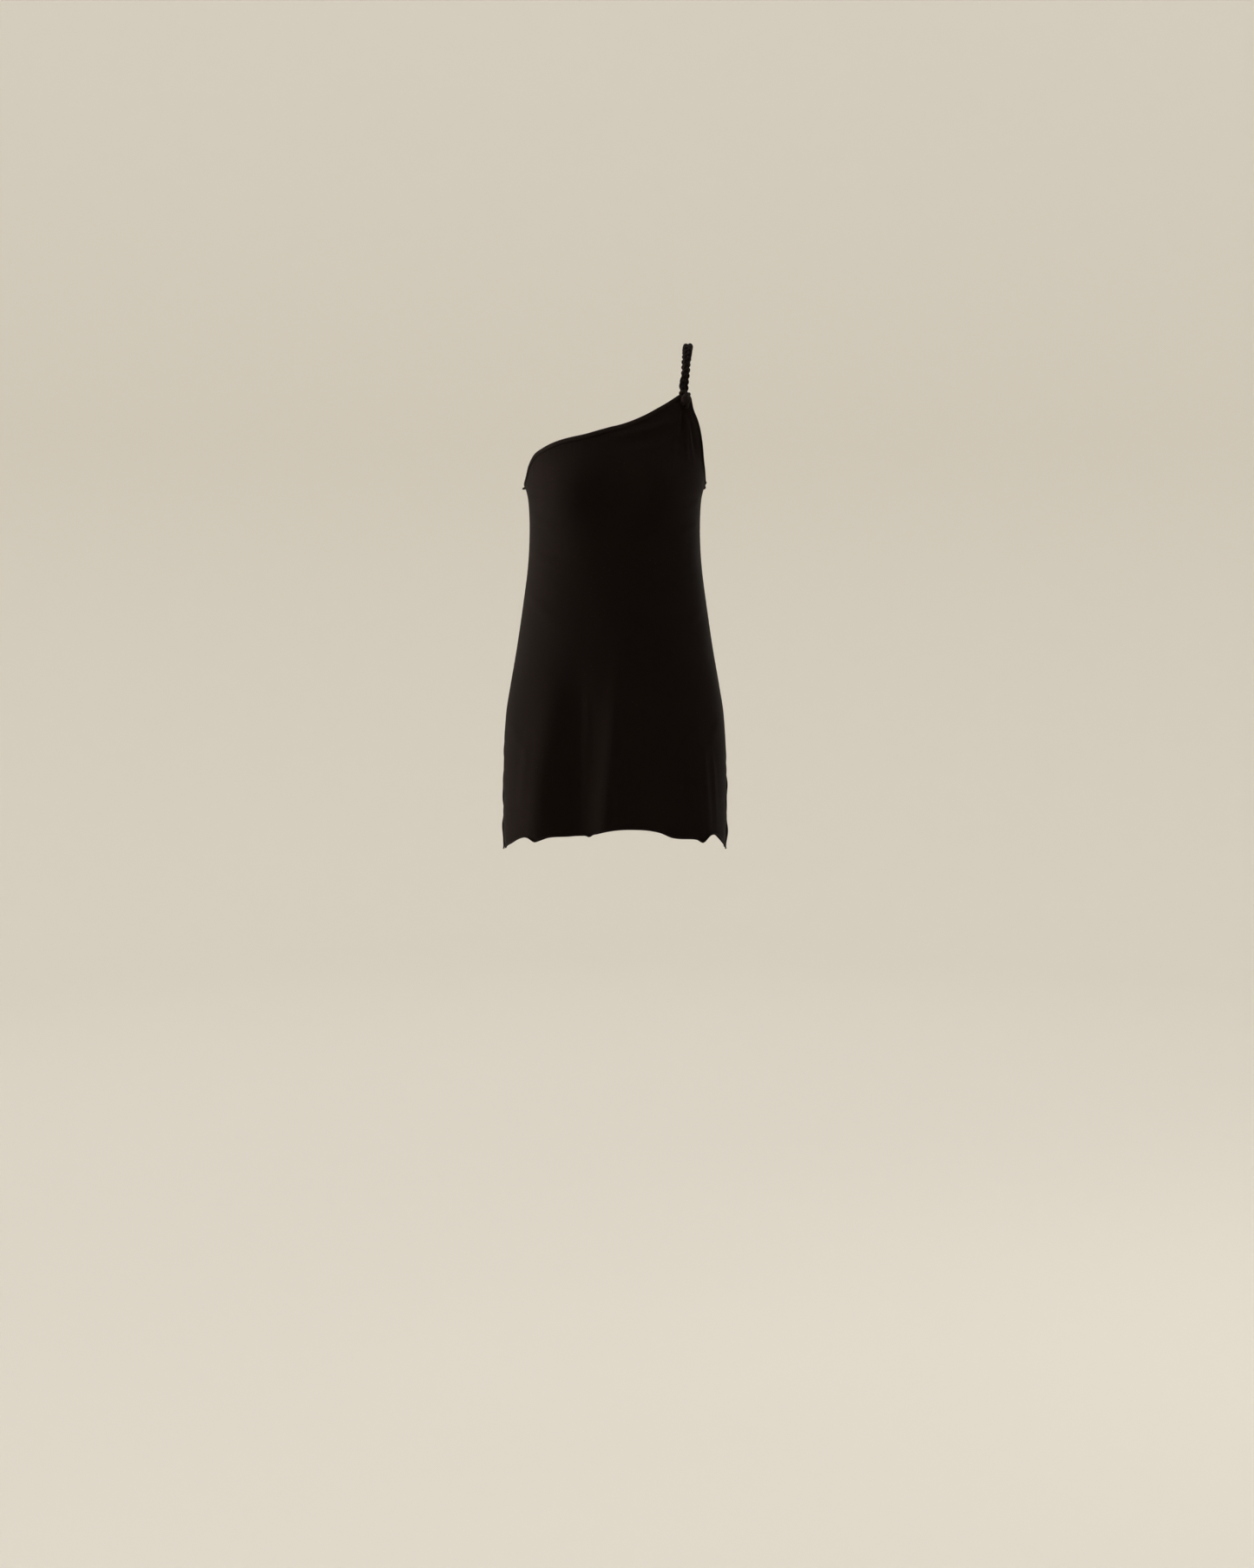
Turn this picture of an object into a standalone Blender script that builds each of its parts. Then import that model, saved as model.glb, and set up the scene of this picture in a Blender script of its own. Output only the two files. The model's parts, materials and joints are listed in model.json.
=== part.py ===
"""One-shoulder tank top in jersey, hollow, as worn: two panels, bindings, a plaited strap and a knot.

Metres, +Z up, +X towards the wearer's left, -Y to the front. The origin is on the underside of the strap
at its highest point, where it lies on the wearer's left shoulder.
"""

import math

import bmesh
import bpy
from mathutils import Matrix, Vector

FRONT, BACK = -1, 1

# The cloth and its seams.
CLOTH = 0.0015  # wall of the jersey panels
SEAM_GAP = 0.0004  # between the two panels along a side seam
CENTRE_X = -0.107  # the garment's centre plane, seen from the strap's top
SLIT_TOP = -0.527  # the side seams end here and the slits begin
HEM = -0.704  # usual height of the raw hem

# The hollow form that the garment keeps: (height, size), from the hem up.
HALF_WIDTH = (
    (-0.760, 0.1620), (-0.710, 0.1645), (-0.640, 0.1650), (-0.580, 0.1640), (-0.527, 0.1605),
    (-0.490, 0.1545), (-0.430, 0.1440), (-0.370, 0.1350), (-0.320, 0.1283), (-0.280, 0.1254),
    (-0.245, 0.1250), (-0.215, 0.1268), (-0.194, 0.1314), (-0.162, 0.1345), (-0.132, 0.1400),
    (-0.097, 0.1460), (-0.052, 0.1495),
)
FRONT_DEPTH = (
    (-0.760, 0.116), (-0.650, 0.113), (-0.540, 0.108), (-0.440, 0.103), (-0.350, 0.102), (-0.280, 0.106),
    (-0.222, 0.112), (-0.182, 0.112), (-0.132, 0.102), (-0.092, 0.089), (-0.052, 0.072),
)
BACK_DEPTH = (
    (-0.760, 0.110), (-0.650, 0.112), (-0.560, 0.113), (-0.480, 0.104), (-0.400, 0.088), (-0.330, 0.079),
    (-0.260, 0.084), (-0.194, 0.092), (-0.132, 0.092), (-0.092, 0.086), (-0.052, 0.076),
)
ROUNDNESS = 2.4  # a section's power: 2 is an ellipse, and more is squarer
SLIT_SPREAD = 0.006  # how far each panel draws away from the slit at the hem
BACK_SPREAD = 0.0035  # how much wider the back hangs than the front there

# Top edges: (degrees round the form from its middle, height). The corner under the strap is between them.
FRONT_NECK = (
    (-90, -0.1945), (-78, -0.1905), (-70, -0.1825), (-64, -0.1695), (-55, -0.1565), (-46, -0.1490),
    (-30, -0.1380), (-10, -0.1275), (8, -0.1095), (22, -0.0900), (35, -0.0710),
)
FRONT_ARM = (
    (44, -0.0735), (46.5, -0.0895), (52, -0.1055), (58, -0.1235), (64, -0.1440), (71, -0.1640),
    (79, -0.1815), (90, -0.1945),
)
BACK_NECK = (
    (-90, -0.1945), (-76, -0.184), (-62, -0.167), (-44, -0.152), (-24, -0.1425), (-6, -0.1340),
    (10, -0.1220), (24, -0.1060), (36, -0.0880),
)
BACK_ARM = (
    (44, -0.0890), (49, -0.1050), (57, -0.1270), (65, -0.1490), (74, -0.1710), (82, -0.1860), (90, -0.1945),
)

# Hems: (across, how far above or below HEM).
FRONT_HEM = (
    (-0.168, -0.030), (-0.158, -0.019), (-0.148, -0.012), (-0.134, -0.003), (-0.125, -0.001),
    (-0.114, -0.006), (-0.094, 0.000), (-0.064, 0.001), (-0.034, 0.004), (-0.004, 0.011), (0.036, 0.012),
    (0.064, 0.007), (0.084, -0.001), (0.118, -0.004), (0.129, -0.007), (0.138, 0.001), (0.148, -0.001),
    (0.156, -0.011), (0.168, -0.030),
)
BACK_HEM = (
    (-0.168, -0.030), (-0.148, -0.014), (-0.100, -0.004), (-0.040, -0.003), (0.010, 0.004), (0.060, -0.001),
    (0.110, -0.003), (0.148, -0.013), (0.168, -0.030),
)

# Long folds: (across at the start, across at the hem, half width, rise at the hem, height of the start).
FRONT_FOLDS = (
    (-0.092, -0.111, 0.024, 0.0078, -0.430),
    (-0.040, -0.060, 0.030, -0.0112, -0.345),
    (0.010, -0.014, 0.016, 0.0048, -0.380),
    (0.058, 0.076, 0.030, -0.0060, -0.380),
    (0.116, 0.128, 0.018, 0.0050, -0.500),
)
BACK_FOLDS = (
    (-0.100, -0.112, 0.026, 0.0060, -0.380),
    (-0.050, -0.062, 0.026, -0.0070, -0.320),
    (-0.004, 0.004, 0.028, 0.0080, -0.300),
    (0.055, 0.064, 0.026, -0.0070, -0.330),
    (0.104, 0.118, 0.024, 0.0060, -0.400),
)
# Fullness that the cut gives the front: (across, height, reach across, reach down, how far out).
FULLNESS = ((-0.064, -0.208, 0.042, 0.046, 0.010), (0.064, -0.208, 0.042, 0.046, 0.010))
# Pleats that fan down from the knot: (across at the lower end, how far out).
PLEAT_TOP = (0.1015, -0.082)
PLEAT_END = -0.165
PLEAT_WIDTH = 0.0075
PLEATS = ((0.076, 0.0018), (0.092, -0.0022), (0.104, 0.0024), (0.115, -0.0020), (0.125, 0.0016))

# Columns of a panel from the wearer's right: along the neck edge, the corner and the armhole. Rows go up.
NECK_COLUMNS, CORNER_COLUMNS, ARM_COLUMNS = 21, 2, 9
ROWS = 18

# Bindings: a strip folded round a top edge.
BINDING_WIDTH = 0.0060
BINDING_WALL = 0.0009
BINDING_GAP = 0.0005  # room between the strip and the panel that it folds round
EDGE_STEP = 1.5  # degrees to each side over which an edge's slope is taken
STEEPEST = 2.2  # most that a slope lengthens the way straight down to the strip's lower edge
CORNER_CLEARANCE = 0.7  # columns that a binding stops short of the knot

# Strap: a plait of three soft strands, from the knot over the shoulder to the back's corner.
STRAP_ROUTE = (
    (-0.0048, -0.0535, -0.0350), (-0.0022, -0.0440, -0.0170), (-0.0008, -0.0260, -0.0010),
    (0.0000, 0.0000, 0.0056), (-0.0005, 0.0270, -0.0005), (-0.0015, 0.0460, -0.0175),
    (-0.0025, 0.0580, -0.0380), (-0.0035, 0.0665, -0.0600), (-0.0040, 0.0725, -0.0820),
    (-0.0042, 0.0750, -0.1030),
)
STRAP_FOOT_RUN = 0.014  # straight run up from the knot
STRAP_FOOT_GAP = 0.0013  # the strands slant, so their ends need this much room over the knot
STRAP_SIZE = ((0, 0.68), (0.06, 0.82), (0.20, 0.92), (0.46, 1), (0.75, 0.92), (0.88, 0.70), (1, 0.42))
PLAIT_SWAY, PLAIT_LIFT, STRAND_RADIUS = 0.0046, 0.0031, 0.00175  # at full size
PLAIT_PITCH = 0.028
ROUTE_STEP = 0.002  # to each side along the route over which its direction is taken
STRAND_SECTIONS = 74
STRAND_SIDES = 6

# The knot that clasps the front's corner, and its short tail below.
KNOT_PLACE = (0.0995, -0.0755)  # across and height
KNOT_HALF = Vector((0.0085, 0.0070, 0.0112))
KNOT_TOP = 0.0098  # flat top above the knot's middle, where the strap stands
KNOT_SLOT = 0.0044  # takes the panel's gathered corner
KNOT_SLOT_TOP = 0.0072
KNOT_SIDES, KNOT_RINGS = 16, 10
TAIL_HALF = Vector((0.0038, 0.0024, 0.0046))
TAIL_SHIFT = 0.0015  # the tail's place across from the knot's middle
TAIL_CLEAR = 0.0010
PIECE_GAP = 0.0003

JERSEY = ("black_jersey", (0.014, 0.012, 0.012, 1), 0.82)
TRIM = ("black_trim", (0.012, 0.010, 0.010, 1), 0.78)
STRAP = ("black_strap", (0.016, 0.014, 0.013, 1), 0.86)


def through(stations, at):
    """Value of the smooth curve through the stations, (position, value) with rising positions."""
    last = len(stations) - 1
    at = min(max(at, stations[0][0]), stations[last][0])
    i = next(k for k in range(last) if at <= stations[k + 1][0])

    def slope(k):
        low, high = stations[max(k - 1, 0)], stations[min(k + 1, last)]
        return (high[1] - low[1]) / (high[0] - low[0])

    (p0, v0), (p1, v1) = stations[i], stations[i + 1]
    span = p1 - p0
    t = (at - p0) / span
    rise = (2 * t**3 - 3 * t**2 + 1) * v0 + (3 * t**2 - 2 * t**3) * v1
    return rise + span * ((t**3 - 2 * t**2 + t) * slope(i) + (t**3 - t**2) * slope(i + 1))


def ease(share):
    share = min(max(share, 0.0), 1.0)
    return share * share * (3 - 2 * share)


def bump(distance, reach):
    return math.exp(-((distance / reach) ** 2))


def swelling(side, across, height):
    """How far the cloth stands out from the plain form: long folds, fullness and pleats."""
    out = 0.0
    for start, end, reach, rise, top in FRONT_FOLDS if side == FRONT else BACK_FOLDS:
        share = ease((top - height) / (top - HEM))
        out += rise * share * bump(across - (start + (end - start) * share), reach)
    if side == BACK:
        return out
    for middle, level, wide, tall, rise in FULLNESS:
        out += rise * bump(across - middle, wide) * bump(height - level, tall)
    down = (PLEAT_TOP[1] - height) / (PLEAT_TOP[1] - PLEAT_END)
    if 0 < down < 1:
        strength = math.sin(math.pi * down**0.6) * ease(6 * down)
        for end, rise in PLEATS:
            line = PLEAT_TOP[0] + (end - PLEAT_TOP[0]) * down**0.8
            out += rise * strength * bump(across - line, PLEAT_WIDTH * (0.4 + 0.6 * down))
    return out


def form_point(side, degrees, height):
    """A point of the cloth's middle surface."""
    wide = through(HALF_WIDTH, height)
    deep = through(FRONT_DEPTH if side == FRONT else BACK_DEPTH, height)
    angle = math.radians(degrees)
    cosine = max(math.cos(angle), 0.0)
    across = math.copysign(wide * abs(math.sin(angle)) ** (2 / ROUNDNESS), angle)
    depth = deep * cosine ** (2 / ROUNDNESS)
    outward = Vector((across / wide**2, side * depth / deep**2, 0)).normalized()
    point = Vector((CENTRE_X + across, side * depth, height))
    point += outward * swelling(side, across, height) * ease(cosine / 0.35)
    # Each panel keeps clear of the other at the side, more so down the open slit.
    open_share = max(0.0, (SLIT_TOP - height) / (SLIT_TOP - HEM))
    point.y += side * (SEAM_GAP / 2 + SLIT_SPREAD * open_share**1.3) * (1 - cosine)
    if side == BACK:
        point.x += math.copysign(BACK_SPREAD * open_share * (1 - cosine), across)
    return point


def edges_of(side):
    return (FRONT_NECK, FRONT_ARM) if side == FRONT else (BACK_NECK, BACK_ARM)


def top_height(side, degrees):
    """Height of a panel's top edge, straight over the corner between neck and armhole."""
    neck, arm = edges_of(side)
    if degrees <= neck[-1][0]:
        return through(neck, degrees)
    if degrees >= arm[0][0]:
        return through(arm, degrees)
    share = (degrees - neck[-1][0]) / (arm[0][0] - neck[-1][0])
    return neck[-1][1] + (arm[0][1] - neck[-1][1]) * share


def column_angles(side):
    """Degrees of each column round the form, from the wearer's right side seam to the left."""
    neck, arm = edges_of(side)
    low, high = neck[-1][0], arm[0][0]
    spans = ((-90, low, NECK_COLUMNS), (low, high, CORNER_COLUMNS), (high, 90, ARM_COLUMNS))
    angles = [start + (end - start) * k / count for start, end, count in spans for k in range(count)]
    return angles + [90]


def edge_drop(side, degrees):
    """How far straight down a line lies that is a binding's width from the top edge."""
    ends = [min(max(degrees + step, -90), 90) for step in (-EDGE_STEP, EDGE_STEP)]
    before, after = [form_point(side, end, top_height(side, end)) for end in ends]
    run = after - before
    return BINDING_WIDTH * min(run.length / math.hypot(run.x, run.y), STEEPEST)


def panel_columns(side):
    """The panel's points, a list for each column from the hem up. The last two span the binding."""
    columns = []
    for degrees in column_angles(side):
        top = top_height(side, degrees)
        seam = top - edge_drop(side, degrees)
        across = form_point(side, degrees, HEM).x - CENTRE_X
        hem = HEM + through(FRONT_HEM if side == FRONT else BACK_HEM, across)
        heights = [hem + (seam - hem) * k / (ROWS - 1) for k in range(ROWS)] + [top]
        columns.append([form_point(side, degrees, height) for height in heights])
    return columns


def finish(maker, name, look):
    """Turns a filled bmesh into a named object with its material."""
    bmesh.ops.recalc_face_normals(maker, faces=maker.faces)
    mesh = bpy.data.meshes.new(name)
    maker.to_mesh(mesh)
    maker.free()
    label, colour, roughness = look
    material = bpy.data.materials.get(label) or bpy.data.materials.new(label)
    material.use_nodes = True
    shader = material.node_tree.nodes["Principled BSDF"]
    shader.inputs["Base Color"].default_value = colour
    shader.inputs["Roughness"].default_value = roughness
    shader.inputs["Metallic"].default_value = 0.0
    mesh.materials.append(material)
    mesh.shade_smooth()
    made = bpy.data.objects.new(name, mesh)
    bpy.context.scene.collection.objects.link(made)
    return made


def loft(rings):
    """A closed bmesh over rings of as many points each, with flat caps."""
    maker = bmesh.new()
    corners = [[maker.verts.new(p) for p in ring] for ring in rings]
    size = len(rings[0])
    for low, high in zip(corners, corners[1:]):
        for i in range(size):
            j = (i + 1) % size
            maker.faces.new((low[i], low[j], high[j]))
            maker.faces.new((low[i], high[j], high[i]))
    maker.faces.new(corners[0][::-1])
    maker.faces.new(corners[-1])
    return maker


def panel(side, name):
    """One cut panel, as a wall of even thickness. Returns its columns of (point, outward direction)."""
    maker = bmesh.new()
    grid = [[maker.verts.new(point) for point in column] for column in panel_columns(side)]
    for left, right in zip(grid, grid[1:]):
        for k in range(ROWS):
            corners = (left[k], right[k], right[k + 1], left[k + 1])
            maker.faces.new(corners if side == FRONT else corners[::-1])
    maker.normal_update()
    columns = [[(vertex.co.copy(), vertex.normal.copy()) for vertex in column] for column in grid]
    made = finish(maker, name, JERSEY)
    wall = made.modifiers.new("wall", "SOLIDIFY")
    wall.thickness = CLOTH
    wall.offset = 0
    return columns


def binding_ring(columns, place):
    """The strip's section at a place counted in columns, as points round the panel's edge."""
    low = min(int(place), len(columns) - 2)
    share = place - low
    (inner, inner_out), (edge, edge_out) = [
        tuple(a.lerp(b, share) for a, b in zip(columns[low][row], columns[low + 1][row])) for row in (-2, -1)
    ]
    if place in (0, len(columns) - 1):
        inner_out.y = edge_out.y = 0
    inner_out.normalize()
    edge_out.normalize()
    away = (edge - inner).normalized()
    near = CLOTH / 2 + BINDING_GAP
    far = near + BINDING_WALL
    lip = BINDING_GAP + BINDING_WALL
    return [
        inner + inner_out * far,
        edge + away * lip * 0.4 + edge_out * far,
        edge + away * lip + edge_out * far * 0.45,
        edge + away * lip - edge_out * far * 0.45,
        edge + away * lip * 0.4 - edge_out * far,
        inner - inner_out * far,
        inner - inner_out * near,
        edge + away * BINDING_GAP - edge_out * near,
        edge + away * BINDING_GAP + edge_out * near,
        inner + inner_out * near,
    ]


def binding(columns, start, end, name):
    """A strip folded round a panel's top edge, between two places counted in columns."""
    stops = [start] + [k for k in range(len(columns)) if start < k < end] + [end]
    return finish(loft([binding_ring(columns, stop) for stop in stops]), name, TRIM)


def bindings(columns, side):
    corner, last = NECK_COLUMNS, len(columns) - 1
    label = "front" if side == FRONT else "back"
    binding(columns, 0, corner - CORNER_CLEARANCE, "neck_binding_" + label)
    binding(columns, corner + CORNER_COLUMNS + CORNER_CLEARANCE, last, "armhole_binding_" + label)


def strap_route():
    """The strap's middle line as (distance from the knot, point)."""
    frame = laid(*KNOT_PLACE)
    points = [frame @ Vector((0, 0, KNOT_TOP + STRAP_FOOT_GAP + run)) for run in (0, STRAP_FOOT_RUN)]
    points += [Vector(point) for point in STRAP_ROUTE]
    distance, stops = 0.0, []
    for point, before in zip(points, points[:1] + points):
        distance += (point - before).length
        stops.append((distance, point))
    return stops


def strand_middle(route, turn, share):
    """A point of one strand's middle line, share being how far along the strap it lies."""
    whole = route[-1][0]

    def middle(at):
        return Vector([through([(stop, point[axis]) for stop, point in route], at) for axis in range(3)])

    at = share * whole
    ahead = (middle(min(at + ROUTE_STEP, whole)) - middle(max(at - ROUTE_STEP, 0))).normalized()
    sideways = (Vector((1, 0, 0)) - ahead * ahead.x).normalized()
    lift = ahead.cross(sideways)
    size = through(STRAP_SIZE, share)
    phase = math.tau * (at / PLAIT_PITCH + turn / 3)
    sway, rise = PLAIT_SWAY * math.sin(phase), PLAIT_LIFT * math.sin(2 * phase)
    return middle(at) + (sideways * sway + lift * rise) * size


def strand(turn, name):
    """One of the three strands, which sways to each side in turn and crosses over and under."""
    route = strap_route()
    middles = [strand_middle(route, turn, k / STRAND_SECTIONS) for k in range(STRAND_SECTIONS + 1)]
    rings = []
    for k, middle in enumerate(middles):
        ahead = (middles[min(k + 1, STRAND_SECTIONS)] - middles[max(k - 1, 0)]).normalized()
        sideways = (Vector((1, 0, 0)) - ahead * ahead.x).normalized()
        lift = ahead.cross(sideways)
        radius = STRAND_RADIUS * through(STRAP_SIZE, k / STRAND_SECTIONS)
        angles = [math.tau * i / STRAND_SIDES for i in range(STRAND_SIDES)]
        rings.append([middle + (sideways * math.cos(a) + lift * math.sin(a)) * radius for a in angles])
    return finish(loft(rings), name, STRAP)


def lump(frame, half, name):
    """A rounded lump of cloth, laid in a frame."""
    maker = bmesh.new()
    bmesh.ops.create_uvsphere(maker, u_segments=KNOT_SIDES, v_segments=KNOT_RINGS, radius=1.0)
    bmesh.ops.transform(maker, matrix=frame @ Matrix.Diagonal((*half, 1)), verts=maker.verts)
    return finish(maker, name, STRAP)


def cutter(frame, size, name):
    """A hidden box that is cut away from a piece."""
    maker = bmesh.new()
    bmesh.ops.create_cube(maker, size=1.0)
    bmesh.ops.transform(maker, matrix=frame @ Matrix.Diagonal((*size, 1)), verts=maker.verts)
    made = finish(maker, name, STRAP)
    made.hide_render = True
    made.display_type = "WIRE"
    return made


def cut(piece, tool):
    step = piece.modifiers.new("cut_" + tool.name, "BOOLEAN")
    step.operation = "DIFFERENCE"
    step.object = tool


def laid(across, height):
    """A frame on the front's middle surface: X along the cloth, Y into the garment, Z up the cloth."""
    share = abs(across) / through(HALF_WIDTH, height)
    degrees = math.degrees(math.asin(share ** (ROUNDNESS / 2)))
    along = (form_point(FRONT, degrees + 2, height) - form_point(FRONT, degrees - 2, height)).normalized()
    rise = form_point(FRONT, degrees, height + 0.004) - form_point(FRONT, degrees, height - 0.004)
    rise = (rise - along * rise.dot(along)).normalized()
    axes = Matrix((along, rise.cross(along), rise)).transposed().to_4x4()
    return Matrix.Translation(form_point(FRONT, degrees, height)) @ axes


def knot():
    """The knot that clasps the gathered corner, under the strap's foot, and its short tail."""
    frame = laid(*KNOT_PLACE)
    body = lump(frame, KNOT_HALF, "knot")
    slot = Vector((0.06, KNOT_SLOT, 0.04))
    cut(body, cutter(frame @ Matrix.Translation((0, 0, KNOT_SLOT_TOP - slot.z / 2)), slot, "knot_slot"))
    above = Vector((0.06, 0.06, 0.02))
    cut(body, cutter(frame @ Matrix.Translation((0, 0, KNOT_TOP + above.z / 2)), above, "knot_top"))
    low = laid(KNOT_PLACE[0] + TAIL_SHIFT, KNOT_PLACE[1] - KNOT_HALF.z - TAIL_HALF.z - PIECE_GAP)
    lump(low @ Matrix.Translation((0, -CLOTH / 2 - TAIL_HALF.y - TAIL_CLEAR, 0)), TAIL_HALF, "knot_tail")


def clear_scene():
    for old in list(bpy.data.objects):
        bpy.data.objects.remove(old)


def main():
    clear_scene()
    for side, name in ((FRONT, "front_panel"), (BACK, "back_panel")):
        bindings(panel(side, name), side)
    for turn in range(3):
        strand(turn, f"strap_strand_{turn + 1}")
    knot()


main()
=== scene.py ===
"""Looks of a one-shoulder tank top: near-black jersey, bound edges, a plaited strap and its knot.

Metres, +Z up, +X towards the wearer's left, -Y to the front. The origin is under the strap at its
highest point. The top hangs in a pale studio.
"""

import json
import math

import bmesh
import bpy
import numpy as np
from bpy.props import FloatProperty, FloatVectorProperty, IntProperty, PointerProperty
from mathutils import Matrix, Vector

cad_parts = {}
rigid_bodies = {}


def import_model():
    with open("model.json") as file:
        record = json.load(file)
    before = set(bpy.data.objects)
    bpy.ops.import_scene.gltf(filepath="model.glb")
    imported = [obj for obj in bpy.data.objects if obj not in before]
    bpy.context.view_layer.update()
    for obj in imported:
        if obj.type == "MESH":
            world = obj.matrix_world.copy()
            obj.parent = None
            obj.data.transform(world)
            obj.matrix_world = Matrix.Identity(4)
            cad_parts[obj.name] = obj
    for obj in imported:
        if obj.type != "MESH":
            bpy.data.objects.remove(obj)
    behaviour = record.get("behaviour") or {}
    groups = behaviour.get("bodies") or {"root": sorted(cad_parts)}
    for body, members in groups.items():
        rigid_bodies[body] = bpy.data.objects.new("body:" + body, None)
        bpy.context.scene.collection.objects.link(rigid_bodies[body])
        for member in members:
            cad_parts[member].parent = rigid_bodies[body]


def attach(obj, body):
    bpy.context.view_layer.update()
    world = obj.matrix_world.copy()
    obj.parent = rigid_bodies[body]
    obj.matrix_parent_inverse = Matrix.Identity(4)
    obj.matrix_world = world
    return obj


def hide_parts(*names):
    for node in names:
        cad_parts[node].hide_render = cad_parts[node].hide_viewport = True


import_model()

bl_info = {
    "name": "One-shoulder tank top",
    "version": (1, 0, 0),
    "blender": (4, 5, 0),
    "location": "3D View > Sidebar > Tank Top",
    "description": "Builds the cloth, bindings, strap, knot and studio of a one-shoulder tank top",
    "category": "Object",
}

FRONT, BACK = -1, 1

# The hollow form that the garment keeps: (height, size), from the hem up.
HALF_WIDTH = (
    (-0.760, 0.1620), (-0.710, 0.1645), (-0.640, 0.1650), (-0.580, 0.1640), (-0.527, 0.1605),
    (-0.490, 0.1545), (-0.430, 0.1440), (-0.370, 0.1350), (-0.320, 0.1283), (-0.280, 0.1254),
    (-0.245, 0.1250), (-0.215, 0.1268), (-0.194, 0.1314), (-0.162, 0.1345), (-0.132, 0.1400),
    (-0.097, 0.1460), (-0.052, 0.1495),
)
FRONT_DEPTH = (
    (-0.760, 0.116), (-0.650, 0.113), (-0.540, 0.108), (-0.440, 0.103), (-0.350, 0.102), (-0.280, 0.106),
    (-0.222, 0.112), (-0.182, 0.112), (-0.132, 0.102), (-0.092, 0.089), (-0.052, 0.072),
)
BACK_DEPTH = (
    (-0.760, 0.110), (-0.650, 0.112), (-0.560, 0.113), (-0.480, 0.104), (-0.400, 0.088), (-0.330, 0.079),
    (-0.260, 0.084), (-0.194, 0.092), (-0.132, 0.092), (-0.092, 0.086), (-0.052, 0.076),
)
ROUNDNESS = 2.4  # a section's power: 2 is an ellipse, and more is squarer

# Top edges: (degrees round the form from its middle, height). The corner under the strap is between them.
FRONT_NECK = (
    (-90, -0.1945), (-78, -0.1905), (-70, -0.1825), (-64, -0.1695), (-55, -0.1565), (-46, -0.1490),
    (-30, -0.1380), (-10, -0.1275), (8, -0.1095), (22, -0.0900), (35, -0.0710),
)
FRONT_ARM = (
    (44, -0.0735), (46.5, -0.0895), (52, -0.1055), (58, -0.1235), (64, -0.1440), (71, -0.1640),
    (79, -0.1815), (90, -0.1945),
)
BACK_NECK = (
    (-90, -0.1945), (-76, -0.184), (-62, -0.167), (-44, -0.152), (-24, -0.1425), (-6, -0.1340),
    (10, -0.1220), (24, -0.1060), (36, -0.0880),
)
BACK_ARM = (
    (44, -0.0890), (49, -0.1050), (57, -0.1270), (65, -0.1490), (74, -0.1710), (82, -0.1860), (90, -0.1945),
)

# Hems: (across, how far above or below the usual height).
FRONT_HEM = (
    (-0.168, -0.030), (-0.158, -0.019), (-0.148, -0.012), (-0.134, -0.003), (-0.125, -0.001),
    (-0.114, -0.006), (-0.094, 0.000), (-0.064, 0.001), (-0.034, 0.004), (-0.004, 0.011), (0.036, 0.012),
    (0.064, 0.007), (0.084, -0.001), (0.118, -0.004), (0.129, -0.007), (0.138, 0.001), (0.148, -0.001),
    (0.156, -0.011), (0.168, -0.030),
)
BACK_HEM = (
    (-0.168, -0.030), (-0.148, -0.014), (-0.100, -0.004), (-0.040, -0.003), (0.010, 0.004), (0.060, -0.001),
    (0.110, -0.003), (0.148, -0.013), (0.168, -0.030),
)
# Nicks where the raw front hem dips: (across, how far, half width).
HEM_NICKS = ((-0.0347, -0.0026, 0.0034), (0.1265, -0.0018, 0.0040), (-0.1150, -0.0012, 0.0040))
# How far the raw hem rolls, in radians: (across, turn). More than 0 is outwards.
FRONT_ROLL = (
    (-0.170, 0.3), (-0.150, 0.8), (-0.128, 1.7), (-0.110, 0.7), (-0.080, 1.3), (-0.050, 0.6), (-0.032, 2.1),
    (-0.018, 0.7), (0.020, 1.2), (0.060, 0.6), (0.095, 1.4), (0.118, 0.8), (0.136, 2.6), (0.150, 0.9),
    (0.170, 0.3),
)
BACK_ROLL = (
    (-0.170, 0.3), (-0.140, 1.2), (-0.100, 0.7), (-0.060, 1.5), (-0.020, 0.8), (0.030, 1.3), (0.070, 0.6),
    (0.110, 1.6), (0.145, 0.8), (0.170, 0.3),
)

# Long folds: (across at the start, across at the hem, half width, rise at the hem, height of the start).
FRONT_FOLDS = (
    (-0.092, -0.111, 0.024, 0.0078, -0.430),
    (-0.040, -0.060, 0.030, -0.0112, -0.345),
    (0.010, -0.014, 0.016, 0.0048, -0.380),
    (0.058, 0.076, 0.030, -0.0060, -0.380),
    (0.116, 0.128, 0.018, 0.0050, -0.500),
)
BACK_FOLDS = (
    (-0.100, -0.112, 0.026, 0.0060, -0.380),
    (-0.050, -0.062, 0.026, -0.0070, -0.320),
    (-0.004, 0.004, 0.028, 0.0080, -0.300),
    (0.055, 0.064, 0.026, -0.0070, -0.330),
    (0.104, 0.118, 0.024, 0.0060, -0.400),
)
# Fullness that the cut gives the front: (across, height, reach across, reach down, how far out).
FULLNESS = ((-0.064, -0.208, 0.042, 0.046, 0.010), (0.064, -0.208, 0.042, 0.046, 0.010))
# Pleats that fan down from the knot: (across at the lower end, how far out).
PLEAT_TOP = (0.1015, -0.082)  # across and height
PLEAT_END = -0.165  # height
PLEAT_WIDTH = 0.0075
PLEATS = ((0.076, 0.0018), (0.092, -0.0022), (0.104, 0.0024), (0.115, -0.0020), (0.125, 0.0016))

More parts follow.
